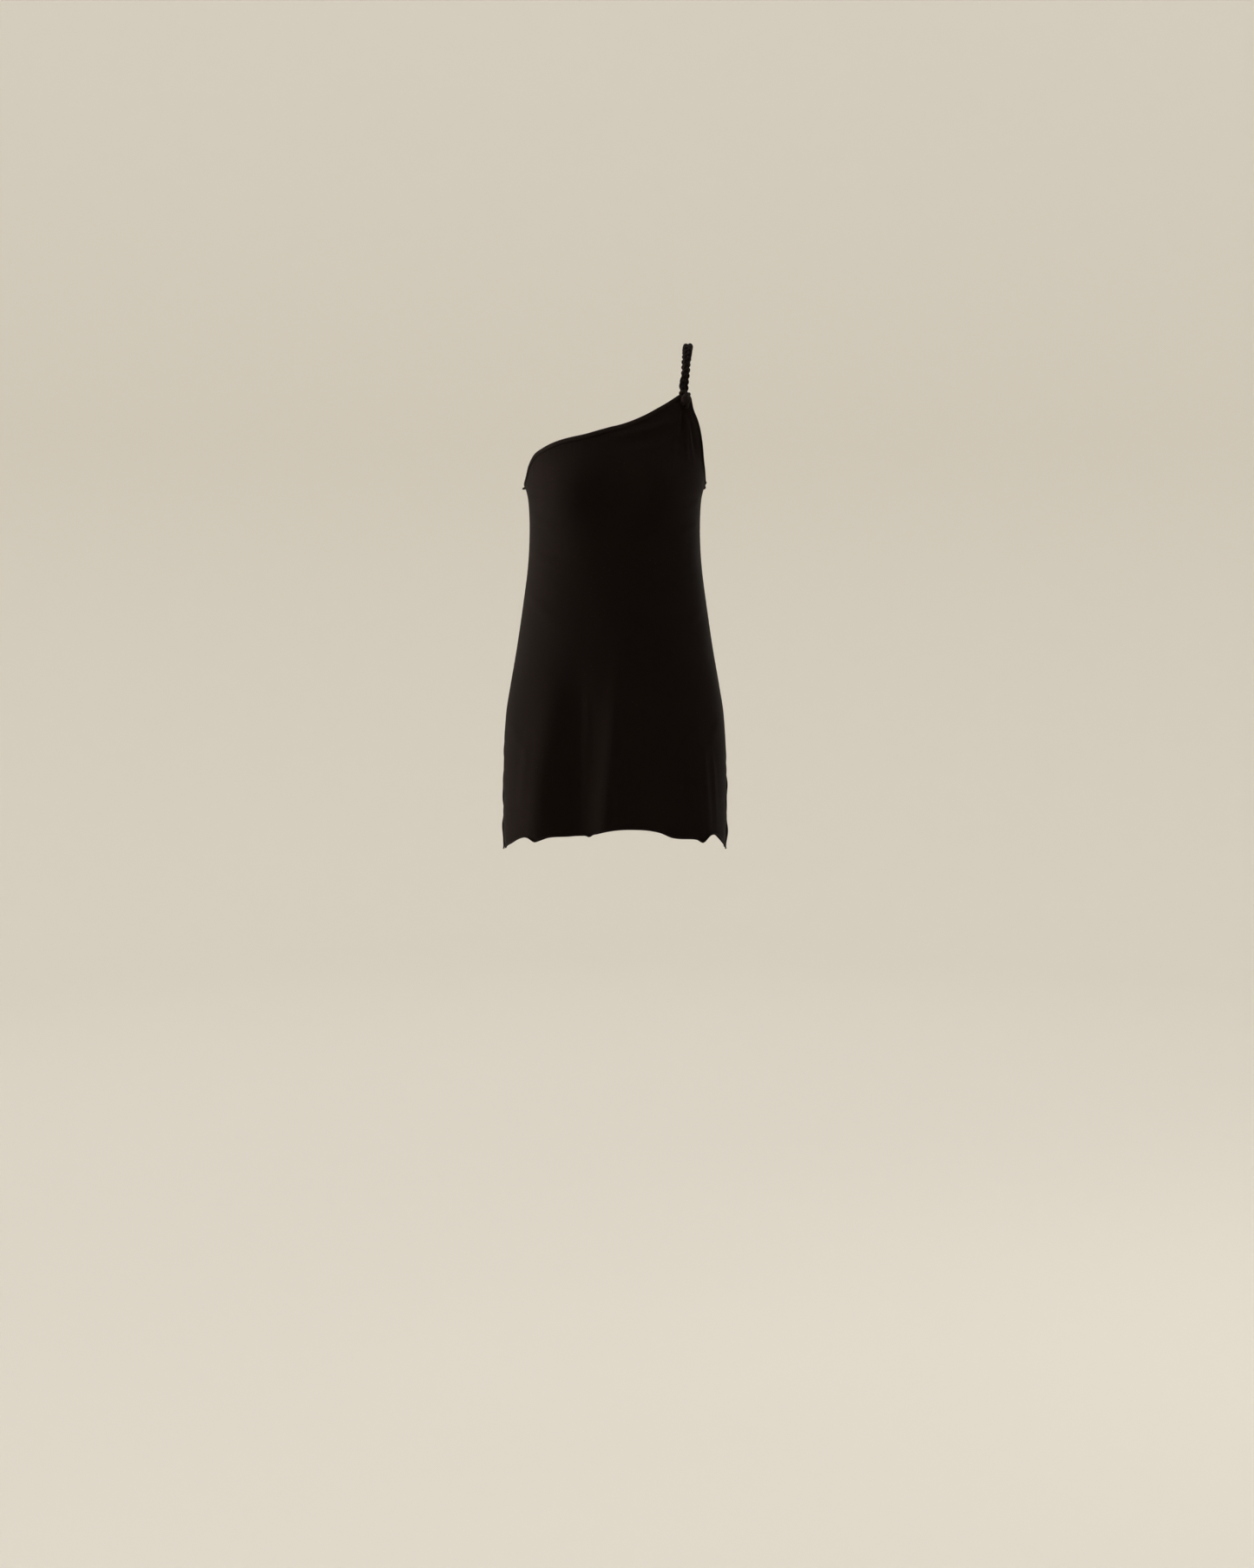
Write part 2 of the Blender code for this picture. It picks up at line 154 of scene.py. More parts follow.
# Creases given one by one, from where the cloth is held: (across and height at the start, across and height
# at the end, half width at the end, rise, bow). A rise under 0 is a trough.
FRONT_CREASES = (
    # gathers under the knot
    (0.0965, -0.089, 0.078, -0.156, 0.0042, 0.0017, 0.002),
    (0.0985, -0.090, 0.091, -0.178, 0.0045, 0.0021, 0.001),
    (0.1000, -0.086, 0.103, -0.176, 0.0036, 0.0030, 0.000),
    (0.1035, -0.086, 0.113, -0.176, 0.0036, 0.0032, -0.001),
    (0.0975, -0.082, 0.098, -0.150, 0.0050, -0.0030, 0.000),
    (0.1020, -0.082, 0.108, -0.140, 0.0028, -0.0022, 0.000),
    (0.1060, -0.087, 0.121, -0.152, 0.0035, 0.0014, -0.002),
    # drag under the neckline, towards the knot
    (0.092, -0.104, -0.034, -0.132, 0.0080, 0.0026, 0.008),
    (0.090, -0.119, -0.020, -0.146, 0.0080, -0.0018, 0.008),
    # drag from the fullness to the side seams
    (-0.128, -0.206, -0.082, -0.222, 0.0070, 0.0013, -0.003),
    (-0.127, -0.232, -0.070, -0.262, 0.0080, 0.0011, -0.005),
    (0.127, -0.214, 0.084, -0.236, 0.0075, 0.0014, 0.004),
    (0.126, -0.246, 0.074, -0.272, 0.0085, 0.0011, 0.004),
    # slack at the waist
    (-0.124, -0.292, -0.046, -0.318, 0.0100, 0.0015, -0.006),
    (0.123, -0.304, 0.048, -0.340, 0.0110, 0.0014, 0.006),
    (-0.129, -0.345, -0.066, -0.402, 0.0120, 0.0014, -0.006),
    (0.131, -0.362, 0.070, -0.424, 0.0120, 0.0013, 0.008),
    # the long fold's steeper face
    (-0.054, -0.400, -0.088, -1.000, 0.0350, -0.0026, 0.000),
    (0.006, -0.400, -0.026, -1.000, 0.0200, 0.0020, 0.000),
    # narrow folds that hang into the hem
    (-0.040, -0.470, -0.051, -0.720, 0.0080, 0.0012, 0.003),
    (-0.124, -0.540, -0.143, -0.740, 0.0100, 0.0009, 0.002),
    (0.006, -0.530, 0.004, -0.715, 0.0095, -0.0013, 0.003),
    (0.040, -0.500, 0.044, -0.712, 0.0110, 0.0013, -0.003),
    (0.098, -0.560, 0.102, -0.722, 0.0080, -0.0013, 0.002),
    (0.128, -0.560, 0.134, -0.740, 0.0056, 0.0015, 0.001),
    (0.141, -0.570, 0.148, -0.724, 0.0045, 0.0012, 0.001),
    # pull at the tops of the slits
    (-0.156, -0.528, -0.108, -0.612, 0.0120, 0.0008, -0.004),
    (0.156, -0.528, 0.112, -0.610, 0.0120, 0.0008, 0.004),
)
BACK_CREASES = (
    # drag from the strap's end
    (0.1000, -0.112, 0.070, -0.206, 0.0065, 0.0017, 0.004),
    (0.1060, -0.116, 0.100, -0.222, 0.0060, 0.0018, 0.001),
    (0.1120, -0.120, 0.124, -0.206, 0.0050, 0.0013, -0.002),
    (0.0960, -0.120, -0.020, -0.168, 0.0090, 0.0015, 0.007),
    # slack in the small of the back
    (-0.123, -0.272, -0.018, -0.300, 0.0100, 0.0017, -0.008),
    (0.122, -0.282, 0.012, -0.314, 0.0105, 0.0018, 0.008),
    (-0.127, -0.316, -0.030, -0.336, 0.0100, 0.0015, -0.006),
    (0.128, -0.332, 0.030, -0.352, 0.0110, 0.0014, 0.006),
    (-0.133, -0.362, -0.070, -0.404, 0.0120, 0.0012, -0.005),
    # under the arms
    (-0.128, -0.208, -0.066, -0.232, 0.0080, 0.0012, -0.004),
    (0.128, -0.212, 0.076, -0.246, 0.0080, 0.0012, 0.004),
    # narrow folds that hang into the hem
    (-0.082, -0.500, -0.088, -0.716, 0.0100, -0.0013, 0.003),
    (-0.026, -0.470, -0.030, -0.716, 0.0090, 0.0013, -0.002),
    (0.030, -0.500, 0.034, -0.712, 0.0090, 0.0012, 0.003),
    (0.086, -0.520, 0.092, -0.716, 0.0095, 0.0014, -0.002),
    (0.138, -0.565, 0.145, -0.724, 0.0060, 0.0013, 0.002),
    (-0.138, -0.560, -0.146, -0.724, 0.0060, 0.0013, -0.002),
    # pull at the tops of the slits
    (-0.157, -0.530, -0.114, -0.602, 0.0070, 0.0013, -0.003),
    (0.157, -0.530, 0.116, -0.604, 0.0070, 0.0014, 0.003),
)
# Slow waves all over the cloth: (radians a metre across, radians a metre up, phase).
RIPPLES = ((37, 11, 0.4), (-21, 46, 1.9), (63, -27, 4.1), (18, 88, 2.7), (-82, -39, 5.2))

# How far the small detail reaches from the seam, slit or edge that it lies along.
SEAM_FADE = 0.012  # down to where a seam ends
SEAM_PUCKER_REACH = 0.006
SLIT_WAVE_REACH = 0.022
SLIT_TURN_REACH = 0.004
EDGE_PUCKER_REACH = 0.012
EDGE_PUCKER_TURN = 3.9  # degrees round the form from one pucker to the next
# Share of the even spacing that is given up to crowd columns to the seams, and rows to both ends.
COLUMN_CROWDING, ROW_CROWDING = 0.28, 0.30

# Strap: middle line of the plait from the knot, over the shoulder, to the back's corner.
STRAP_ROUTE = (
    (-0.0048, -0.0535, -0.0350), (-0.0022, -0.0440, -0.0170), (-0.0008, -0.0260, -0.0010),
    (0.0000, 0.0000, 0.0056), (-0.0005, 0.0270, -0.0005), (-0.0015, 0.0460, -0.0175),
    (-0.0025, 0.0580, -0.0380), (-0.0035, 0.0665, -0.0600), (-0.0040, 0.0725, -0.0820),
    (-0.0042, 0.0750, -0.1030),
)
# The plait's size on its way: (share of the way, size).
STRAP_SIZE = (
    (0, 0.60), (0.06, 0.60), (0.17, 0.66), (0.26, 0.90), (0.34, 1.08), (0.50, 1.14), (0.75, 0.92),
    (0.88, 0.70), (1, 0.42),
)

# Knot: cords of rolled jersey, each (across, in, up) from the knot's middle with its half width.
KNOT_PLACE = (0.0995, -0.0755)  # across and height
KNOT_TOP = 0.0072  # where the strap starts above the knot's middle
KNOT_WRAP = (
    (0.0022, 0.0010, 0.0066, 0.0026), (0.0050, -0.0030, 0.0060, 0.0031), (0.0026, -0.0056, 0.0032, 0.0040),
    (-0.0012, -0.0066, -0.0028, 0.0050), (-0.0042, -0.0048, -0.0082, 0.0042),
    (-0.0048, 0.0010, -0.0082, 0.0031), (0.0000, 0.0050, -0.0046, 0.0029), (0.0056, 0.0030, 0.0008, 0.0028),
    (0.0040, -0.0010, 0.0050, 0.0024),
)
KNOT_OVER = (
    (-0.0022, 0.0012, 0.0060, 0.0026), (-0.0052, -0.0014, 0.0072, 0.0029), (-0.0026, -0.0040, 0.0080, 0.0031),
    (0.0030, -0.0046, 0.0058, 0.0032), (0.0058, -0.0046, 0.0000, 0.0033), (0.0046, -0.0050, -0.0056, 0.0034),
    (0.0022, -0.0046, -0.0100, 0.0033), (0.0016, -0.0030, -0.0142, 0.0028), (0.0004, 0.0000, -0.0136, 0.0020),
)
KNOT_END = (
    (0.0020, -0.0010, 0.0030, 0.0026), (0.0050, -0.0018, 0.0046, 0.0029), (0.0080, -0.0022, 0.0058, 0.0028),
    (0.0104, -0.0022, 0.0062, 0.0021),
)

# Ends of the bindings at the side seams: (name, -1 for the wearer's right, height, half sizes, lean).
TABS = (
    ("right_seam_tab", -1, -0.1985, (0.0042, 0.0020, 0.0019), 0.35),
    ("left_seam_tab_upper", 1, -0.1905, (0.0024, 0.0020, 0.0026), -0.20),
    ("left_seam_tab_lower", 1, -0.1975, (0.0024, 0.0019, 0.0024), 0.15),
)
TAB_OUT = 0.45  # share of its half width that a tab's middle stands out from the seam

# A folded strip's outer line: (share of the width up from its lower edge, share of the rise). The rest
# is mirrored.
STRIP_LINE = (
    (-0.02, 0.50), (0.00, 0.72), (0.06, 0.86), (0.16, 0.90), (0.28, 0.94), (0.45, 1.00), (0.62, 1.01),
    (0.78, 0.97), (0.92, 0.86), (1.03, 0.66), (1.10, 0.40), (1.13, 0.13),
)
LIP_SHARE = 0.13  # share of that line past the cloth's edge
EDGE_STEPS = 1200  # points along one panel's bound edge
SMOOTH_STEPS = 30  # points on each side over which a strip's directions are evened out
# The strap's back end is sewn down with close stitches: how many, the first one's place before the end
# and over the strap's middle, and the steps from one to the next.
TACK_COUNT, TACK_START, TACK_OVER, TACK_STEP, TACK_CLIMB = 9, 0.0030, 0.0016, 0.0007, 0.0001
TACK_SIZE = (2.1, 1.3, 1.3)  # times a usual stitch

DYE_UNEVENNESS = 0.25
# What the lights are aimed at: heights on the garment, and how far behind itself the overhead light looks.
CHEST, WAIST, WASH_LEAD = -0.18, -0.40, 0.4


class TankClothSettings(bpy.types.PropertyGroup):
    """Sizes and colour of the two jersey panels."""

    centre: FloatProperty(
        name="Centre", description="Garment's centre plane, across from the strap's top", default=-0.107,
        unit="LENGTH")
    hem: FloatProperty(name="Hem", description="Usual height of the raw hem", default=-0.704, unit="LENGTH")
    slit_top: FloatProperty(
        name="Slit top", description="Height where the side seams end", default=-0.527, unit="LENGTH")
    wall: FloatProperty(name="Cloth", description="Thickness of the jersey", default=0.0011, unit="LENGTH")
    seam_lap: FloatProperty(
        name="Seam lap", description="How far the panels lap into each other along a side seam",
        default=0.0002, unit="LENGTH")
    slit_spread: FloatProperty(
        name="Slit spread", description="How far each panel draws away from a slit at the hem", default=0.006,
        unit="LENGTH")
    back_spread: FloatProperty(
        name="Back spread", description="How much wider the back hangs at the hem", default=0.0035,
        unit="LENGTH")
    seam_dip: FloatProperty(
        name="Seam dip", description="Depth of the groove along a side seam", default=0.0011, unit="LENGTH")
    seam_reach: FloatProperty(
        name="Seam reach", description="Half width of that groove", default=0.0024, unit="LENGTH")
    pucker: FloatProperty(
        name="Pucker", description="Rise of the small puckers along seams and bindings", default=0.00032,
        unit="LENGTH")
    pucker_pitch: FloatProperty(
        name="Pucker pitch", description="From one pucker to the next", default=0.0092, unit="LENGTH")
    slit_wave: FloatProperty(
        name="Slit wave", description="Rise of the waves down a slit's raw edge", default=0.0019,
        unit="LENGTH")
    ripple: FloatProperty(
        name="Ripple", description="Rise of the slow waves all over the cloth", default=0.00045,
        unit="LENGTH")
    roll: FloatProperty(
        name="Hem roll", description="Length of cloth that rolls at the raw hem", default=0.0058,
        unit="LENGTH")
    columns: IntProperty(name="Columns", description="Faces across a panel", default=176)
    rows: IntProperty(name="Rows", description="Faces up a panel, over the rolled hem", default=224)
    roll_rows: IntProperty(name="Roll rows", description="Faces round the rolled hem", default=8)
    colour: FloatVectorProperty(
        name="Jersey", description="Near-black jersey", default=(0.0047, 0.0027, 0.0021, 1), size=4,
        subtype="COLOR")
    lint: FloatVectorProperty(
        name="Lint", description="Fine pale fibres on the cloth", default=(0.022, 0.018, 0.016, 1), size=4,
        subtype="COLOR")
    wale: FloatProperty(name="Wale", description="Width of one column of knit", default=0.0009, unit="LENGTH")
    course: FloatProperty(
        name="Course", description="Height of one row of knit", default=0.0007, unit="LENGTH")


class TankTrimSettings(bpy.types.PropertyGroup):
    """Sizes and colours of the bindings and their stitches."""

    width: FloatProperty(
        name="Binding width", description="Width of a folded strip", default=0.006, unit="LENGTH")
    rise: FloatProperty(
        name="Binding rise", description="How far a strip stands out from the cloth's middle", default=0.0020,
        unit="LENGTH")
    wall: FloatProperty(
        name="Binding wall", description="Thickness of a strip", default=0.0008, unit="LENGTH")
    lip: FloatProperty(
        name="Lip", description="How far a strip stands over the cloth's edge", default=0.0013, unit="LENGTH")
    steepest: FloatProperty(
        name="Steepest", description="Most that a slope lengthens the way straight down the strip",
        default=2.2)
    sections: IntProperty(name="Sections", description="Sections along the longer strip", default=420)
    pitch: FloatProperty(
        name="Stitch pitch", description="From one stitch to the next", default=0.0029, unit="LENGTH")
    stitch: FloatProperty(name="Stitch", description="Length of a stitch", default=0.0023, unit="LENGTH")
    thread: FloatProperty(
        name="Thread", description="Half thickness of the thread", default=0.00024, unit="LENGTH")
    margin: FloatProperty(
        name="Margin", description="From a strip's lower edge to its stitches", default=0.0012, unit="LENGTH")
    # Painted light: the binding is the panels' near-black jersey, given a lighter colour that stands in for
    # the overhead light its rounded top catches.
    colour: FloatVectorProperty(
        name="Binding", description="Near-black binding", default=(0.0080, 0.0052, 0.0043, 1), size=4,
        subtype="COLOR")
    thread_colour: FloatVectorProperty(
        name="Thread colour", description="Near-black thread", default=(0.0075, 0.0046, 0.0040, 1), size=4,
        subtype="COLOR")


class TankStrapSettings(bpy.types.PropertyGroup):
    """Sizes and colour of the plaited strap and its knot."""

    sway: FloatProperty(
        name="Sway", description="How far a strand swings to each side", default=0.0038, unit="LENGTH")
    lift: FloatProperty(
        name="Lift", description="How far a strand rises over the others", default=0.0020, unit="LENGTH")
    pitch: FloatProperty(
        name="Pitch", description="Length of one whole turn of the plait", default=0.028, unit="LENGTH")
    strand: FloatProperty(
        name="Strand", description="Half thickness of a strand", default=0.0029, unit="LENGTH")
    foot_run: FloatProperty(
        name="Foot run", description="Straight run up from the knot", default=0.014, unit="LENGTH")
    sections: IntProperty(name="Sections", description="Sections along a strand", default=240)
    sides: IntProperty(name="Sides", description="Sides of a strand", default=16)
    core: FloatVectorProperty(
        name="Knot core", description="Half sizes of the cloth gathered in the knot",
        default=(0.0062, 0.0044, 0.0092), size=3, unit="LENGTH")
    # Painted shade: the plait's colour is darker than the jersey's, to stand in for the shade in the plait's
    # deep grooves.
    colour: FloatVectorProperty(
        name="Plait", description="Near-black rolled jersey, dark in its folds",
        default=(0.0042, 0.0027, 0.0023, 1), size=4, subtype="COLOR")
    # Painted light: the knot is the strap's own jersey, and its lighter colour stands in for the soft light
    # that falls on the knot's front.
    knot_colour: FloatVectorProperty(
        name="Knot", description="Near-black jersey, pulled tight", default=(0.0084, 0.0052, 0.0044, 1),
        size=4, subtype="COLOR")


class TankStageSettings(bpy.types.PropertyGroup):
    """Studio round the garment, its light and the camera."""

    floor: FloatProperty(name="Floor", description="Height of the floor", default=-1.50, unit="LENGTH")
    reach: FloatProperty(name="Reach", description="Radius of the studio", default=5.2, unit="LENGTH")
    tall: FloatProperty(name="Wall", description="Height of the studio's wall", default=3.9, unit="LENGTH")
    cove: FloatProperty(
        name="Cove", description="Radius where the floor turns up", default=1.8, unit="LENGTH")
    paint: FloatVectorProperty(
        name="Paint", description="Warm off-white of floor and wall", default=(0.78, 0.750, 0.690, 1), size=4,
        subtype="COLOR")
    key_place: FloatVectorProperty(
        name="Key place", description="Where the large soft light stands", default=(-3.3, 0.20, 0.25), size=3,
        subtype="TRANSLATION")
    key_size: FloatProperty(name="Key size", description="Side of the soft light", default=1.6, unit="LENGTH")
    key_power: FloatProperty(name="Key power", description="Power of the soft light", default=11.8)
    key_spread: FloatProperty(
        name="Key spread", description="How wide the beams of the soft light and the light behind are",
        default=math.radians(28), subtype="ANGLE")
    light_colour: FloatVectorProperty(
        name="Light colour", description="Warm white of all the lights", default=(1.0, 0.95, 0.88), size=3,
        subtype="COLOR")
    wash_place: FloatVectorProperty(
        name="Wash place", description="Where the overhead light hangs", default=(-1.2, -0.3, 2.9), size=3,
        subtype="TRANSLATION")
    wash_size: FloatProperty(
        name="Wash size", description="Side of the overhead light", default=5.0, unit="LENGTH")
    wash_power: FloatProperty(name="Wash power", description="Power of the overhead light", default=14.0)
    rim_place: FloatVectorProperty(
        name="Rim place", description="Where the light behind stands", default=(1.4, 3.0, 0.8), size=3,
        subtype="TRANSLATION")
    rim_power: FloatProperty(name="Rim power", description="Power of the light behind", default=1.5)
    sky: FloatVectorProperty(
        name="Sky", description="Light from all round", default=(1.0, 0.98, 0.94, 1), size=4, subtype="COLOR")
    sky_power: FloatProperty(
        name="Sky power", description="Strength of the light from all round", default=1.02)
    camera_place: FloatVectorProperty(
        name="Camera place", description="Where the camera stands", default=(-0.0890, -2.9, -0.3870), size=3,
        subtype="TRANSLATION")
    camera_tilt: FloatProperty(
        name="Camera tilt", description="Angle below the horizon", default=math.radians(4.9), subtype="ANGLE")
    lens: FloatProperty(name="Lens", description="Focal length in millimetres", default=44.8)


def through(stations, at):
    """Values of the smooth curve through the stations, (position, value) with rising positions."""
    places, values = np.array(stations, float).T
    at = np.clip(at, places[0], places[-1])
    count = np.arange(len(places))
    after, before = np.minimum(count + 1, len(places) - 1), np.maximum(count - 1, 0)
    slopes = (values[after] - values[before]) / (places[after] - places[before])
    low = np.clip(np.searchsorted(places, at) - 1, 0, len(places) - 2)
    span = places[low + 1] - places[low]
    t = (at - places[low]) / span
    rise = (2 * t**3 - 3 * t**2 + 1) * values[low] + (3 * t**2 - 2 * t**3) * values[low + 1]
    return rise + span * ((t**3 - 2 * t**2 + t) * slopes[low] + (t**3 - t**2) * slopes[low + 1])


def ease(share):
    share = np.clip(share, 0.0, 1.0)
    return share * share * (3 - 2 * share)


def bump(distance, reach):
    return np.exp(-((distance / reach) ** 2))


def unit(vectors):
    return vectors / np.maximum(np.linalg.norm(vectors, axis=-1, keepdims=True), 1e-12)


def square_to(vectors, ahead):
    """Unit vectors with the part that lies along the unit directions ahead taken out."""
    return unit(vectors - ahead * (vectors * ahead).sum(-1, keepdims=True))


def run_along(points):
    """How far along its line each point lies."""
    return np.concatenate([[0], np.cumsum(np.linalg.norm(np.diff(points, axis=0), axis=1))])


def through_points(places, points, at):
    """Points of the smooth line that passes each point at its place."""
    return np.stack([through(list(zip(places, points[:, k])), at) for k in range(3)], -1)


def crowded(count, crowding):
    """Shares from 0 to 1, closer together towards both ends."""
    share = np.linspace(0, 1, count + 1)
    return (1 - crowding) * share + crowding * (1 - np.cos(math.pi * share)) / 2


def folds_out(cloth, side, across, height):
    """How far the cloth stands out from the plain form: long folds, fullness and pleats."""
    out = np.zeros(np.broadcast(across, height).shape)
    for start, end, reach, rise, top in FRONT_FOLDS if side == FRONT else BACK_FOLDS:
        share = ease((top - height) / (top - cloth.hem))
        out += rise * share * bump(across - (start + (end - start) * share), reach)
    if side == BACK:
        return out
    for middle, level, wide, tall, rise in FULLNESS:
        out += rise * bump(across - middle, wide) * bump(height - level, tall)
    down = np.clip((PLEAT_TOP[1] - height) / (PLEAT_TOP[1] - PLEAT_END), 0, 1)
    strength = np.sin(math.pi * down**0.6) * ease(6 * down)
    for end, rise in PLEATS:
        line = PLEAT_TOP[0] + (end - PLEAT_TOP[0]) * down**0.8
        out += rise * strength * bump(across - line, PLEAT_WIDTH * (0.4 + 0.6 * down))
    return out


def creases_out(side, across, height):
    """Listed creases: each a soft ridge or trough with a slight dip on both sides of it."""
    out = np.zeros(np.broadcast(across, height).shape)
    for x0, z0, x1, z1, reach, rise, bow in FRONT_CREASES if side == FRONT else BACK_CREASES:
        run_x, run_z = x1 - x0, z1 - z0
        length = math.hypot(run_x, run_z)
        along = np.clip(((across - x0) * run_x + (height - z0) * run_z) / length**2, 0, 1)
        aside = ((across - x0) * run_z - (height - z0) * run_x) / length + bow * 4 * along * (1 - along)
        q = aside / (reach * (0.5 + 0.5 * along))
        across_it = (1 - 0.5 * q**2) * np.exp(-(q**2) / 1.6)
        out += rise * ease(along / 0.3) * ease((1 - along) / 0.65) * across_it
    for per_x, per_z, phase in RIPPLES:
        out += bpy.context.scene.tank_cloth.ripple * 0.5 * np.sin(per_x * across + per_z * height + phase)
    return out


def edges_of(side):
    return (FRONT_NECK, FRONT_ARM) if side == FRONT else (BACK_NECK, BACK_ARM)


def top_height(side, degrees):
    """Height of a panel's top edge, straight over the corner between neck and armhole."""
    neck, arm = edges_of(side)
    share = (degrees - neck[-1][0]) / (arm[0][0] - neck[-1][0])
    corner = neck[-1][1] + (arm[0][1] - neck[-1][1]) * share
    corner = np.where(share >= 1, through(arm, degrees), corner)
    return np.where(share <= 0, through(neck, degrees), corner)


def form(side, degrees, height, fine=True):
    """Points of the cloth's middle surface, with the seams' and edges' small detail if fine."""
    cloth = bpy.context.scene.tank_cloth
    wide = through(HALF_WIDTH, height)
    deep = through(FRONT_DEPTH if side == FRONT else BACK_DEPTH, height)
    angle = np.radians(degrees)
    cosine = np.clip(np.cos(angle), 0, None)
    across = np.sign(angle) * wide * np.abs(np.sin(angle)) ** (2 / ROUNDNESS)
    depth = deep * cosine ** (2 / ROUNDNESS)
    outward = np.broadcast_arrays(across / wide**2, side * depth / deep**2, 0.0 * height)
    outward = unit(np.stack(outward, -1))
    out = folds_out(cloth, side, across, height)
    open_share = np.clip((cloth.slit_top - height) / (cloth.slit_top - cloth.hem), 0, None)
    if fine:
        out = out + creases_out(side, across, height)
    out = out * ease(cosine / 0.35)
    if fine:
        sewn = ease((height - cloth.slit_top) / SEAM_FADE)
        turns = 2 * math.pi * height / cloth.pucker_pitch
        small = np.sin(turns + np.sin(turns * 0.31)) * (0.75 + 0.25 * np.sin(turns * 0.13 + side))
        out = out - cloth.seam_dip * sewn * bump(depth, cloth.seam_reach)
        out = out + cloth.pucker * sewn * small * np.exp(-depth / SEAM_PUCKER_REACH)
        waves = np.sin(height * 97 + side) + 0.6 * np.sin(height * 171 + 2.2 * side + np.sign(angle))
        waves = cloth.slit_wave * ease(open_share * 1.6) * waves * 0.6
        out = out + waves * np.exp(-depth / SLIT_WAVE_REACH)
        out = out - cloth.seam_dip * 1.2 * ease(open_share * 4) * bump(depth, SLIT_TURN_REACH)
        below = np.clip(top_height(side, degrees) - height, 0, None)
        steps = 2 * math.pi * degrees / EDGE_PUCKER_TURN
        small = cloth.pucker * np.sin(steps + 0.8 * np.sin(steps * 0.37))
        out = out + small * np.exp(-below / EDGE_PUCKER_REACH) * ease(depth / 0.02)
    middle = np.stack(np.broadcast_arrays(cloth.centre + across, side * depth, height), -1)
    point = middle + outward * out[..., None]
    point[..., 1] += side * (cloth.slit_spread * open_share**1.3 - cloth.seam_lap / 2) * (1 - cosine)
    if side == BACK:
        point[..., 0] += np.sign(across) * cloth.back_spread * open_share * (1 - cosine)
    return point


def even_degrees(side, count):
    """Degrees of evenly spaced columns round the form, a little closer towards the seams."""
    cloth = bpy.context.scene.tank_cloth
    dense = np.linspace(-90, 90, 2401)
    points = form(side, dense, np.full(dense.shape, (cloth.hem + cloth.slit_top) / 2), fine=False)
    run = run_along(points)
    share = crowded(count, COLUMN_CROWDING)
    return np.interp(share * run[-1], run, dense), share * run[-1]


def strip_drop(side, degrees):
    """How far straight down a line lies that is a binding's width from the top edge."""
    trim = bpy.context.scene.tank_trim
    before, after = [np.clip(degrees + step, -90, 90) for step in (-1.5, 1.5)]
    run = [form(side, at, top_height(side, at), fine=False) for at in (before, after)]
    run = run[1] - run[0]
    slope = np.linalg.norm(run, axis=-1) / np.hypot(run[..., 0], run[..., 1])
    return trim.width * np.minimum(slope, trim.steepest)


def cloth_grid(side):
    """A panel's points, [column][row] from the rolled hem up, and the flat place of each."""
    cloth = bpy.context.scene.tank_cloth
    degrees, flat_across = even_degrees(side, cloth.columns)
    across = form(side, degrees, np.full(degrees.shape, cloth.hem), fine=False)[:, 0] - cloth.centre
    hem = cloth.hem + through(FRONT_HEM if side == FRONT else BACK_HEM, across)
    if side == FRONT:
        hem = hem + sum(rise * bump(across - place, reach) for place, rise, reach in HEM_NICKS)
    turn = through(FRONT_ROLL if side == FRONT else BACK_ROLL, across)
    radius = cloth.roll / turn
    start = hem + radius * np.sin(np.minimum(turn, math.pi / 2))
    top = top_height(side, degrees)
    heights = start[:, None] + (top - start)[:, None] * crowded(cloth.rows, ROW_CROWDING)
    upper = form(side, degrees[:, None], heights)
    rise = unit(upper[:, 1] - upper[:, 0])
    aside = unit(np.gradient(upper[:, 0], axis=0))
    out = unit(np.cross(aside, rise)) * -side
    rolled = []
    for k in range(cloth.roll_rows, 0, -1):
        angle = turn * k / cloth.roll_rows
        down, away = radius * np.sin(angle), radius * (1 - np.cos(angle))
        rolled.append(upper[:, 0] - rise * down[:, None] + out * away[:, None])
    grid = np.concatenate([np.stack(rolled, 1), upper], 1)
    steps = np.linalg.norm(np.diff(grid, axis=1), axis=2)
    flat_up = np.concatenate([np.zeros((len(grid), 1)), np.cumsum(steps, axis=1)], 1)
    flat_up = flat_up - flat_up[:, -1:] + top[:, None]
    return grid, np.stack(np.broadcast_arrays(flat_across[:, None], flat_up), -1)


def deselect():
    if bpy.context.object and bpy.context.object.mode != "OBJECT":
        bpy.ops.object.mode_set(mode="OBJECT")
    bpy.ops.object.select_all(action="DESELECT")


def new_object(name, points, faces):
    """A named, smooth mesh object, itself at the origin with its place in its points."""
    mesh = bpy.data.meshes.new(name)
    mesh.from_pydata(np.asarray(points).tolist(), [], faces)
    mesh.shade_smooth()
    made = bpy.data.objects.new(name, mesh)
    bpy.context.scene.collection.objects.link(made)
    return made


def wear(piece, material, slot, *nodes):
    """Dresses a finished piece, hangs it on the root body and hides the CAD nodes that it replaces."""
    piece.data.materials.clear()
    piece.data.materials.append(material)
    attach(piece, "root")
    if nodes:
        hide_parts(*nodes)
    return piece


def panel(side, name):
    """One jersey panel, a thin shell with its flat places as a map in metres."""
    grid, flat = cloth_grid(side)
    columns, rows = grid.shape[:2]
    ids = np.arange(columns * rows).reshape(columns, rows)
    quads = np.stack([ids[:-1, :-1], ids[1:, :-1], ids[1:, 1:], ids[:-1, 1:]], -1).reshape(-1, 4)
    if side == BACK:
        quads = quads[:, ::-1]
    made = new_object(name, grid.reshape(-1, 3), quads.tolist())
    map_cloth(made, flat.reshape(-1, 2))
    wall = made.modifiers.new("wall", "SOLIDIFY")
    wall.thickness = bpy.context.scene.tank_cloth.wall
    wall.offset = 0
    return made


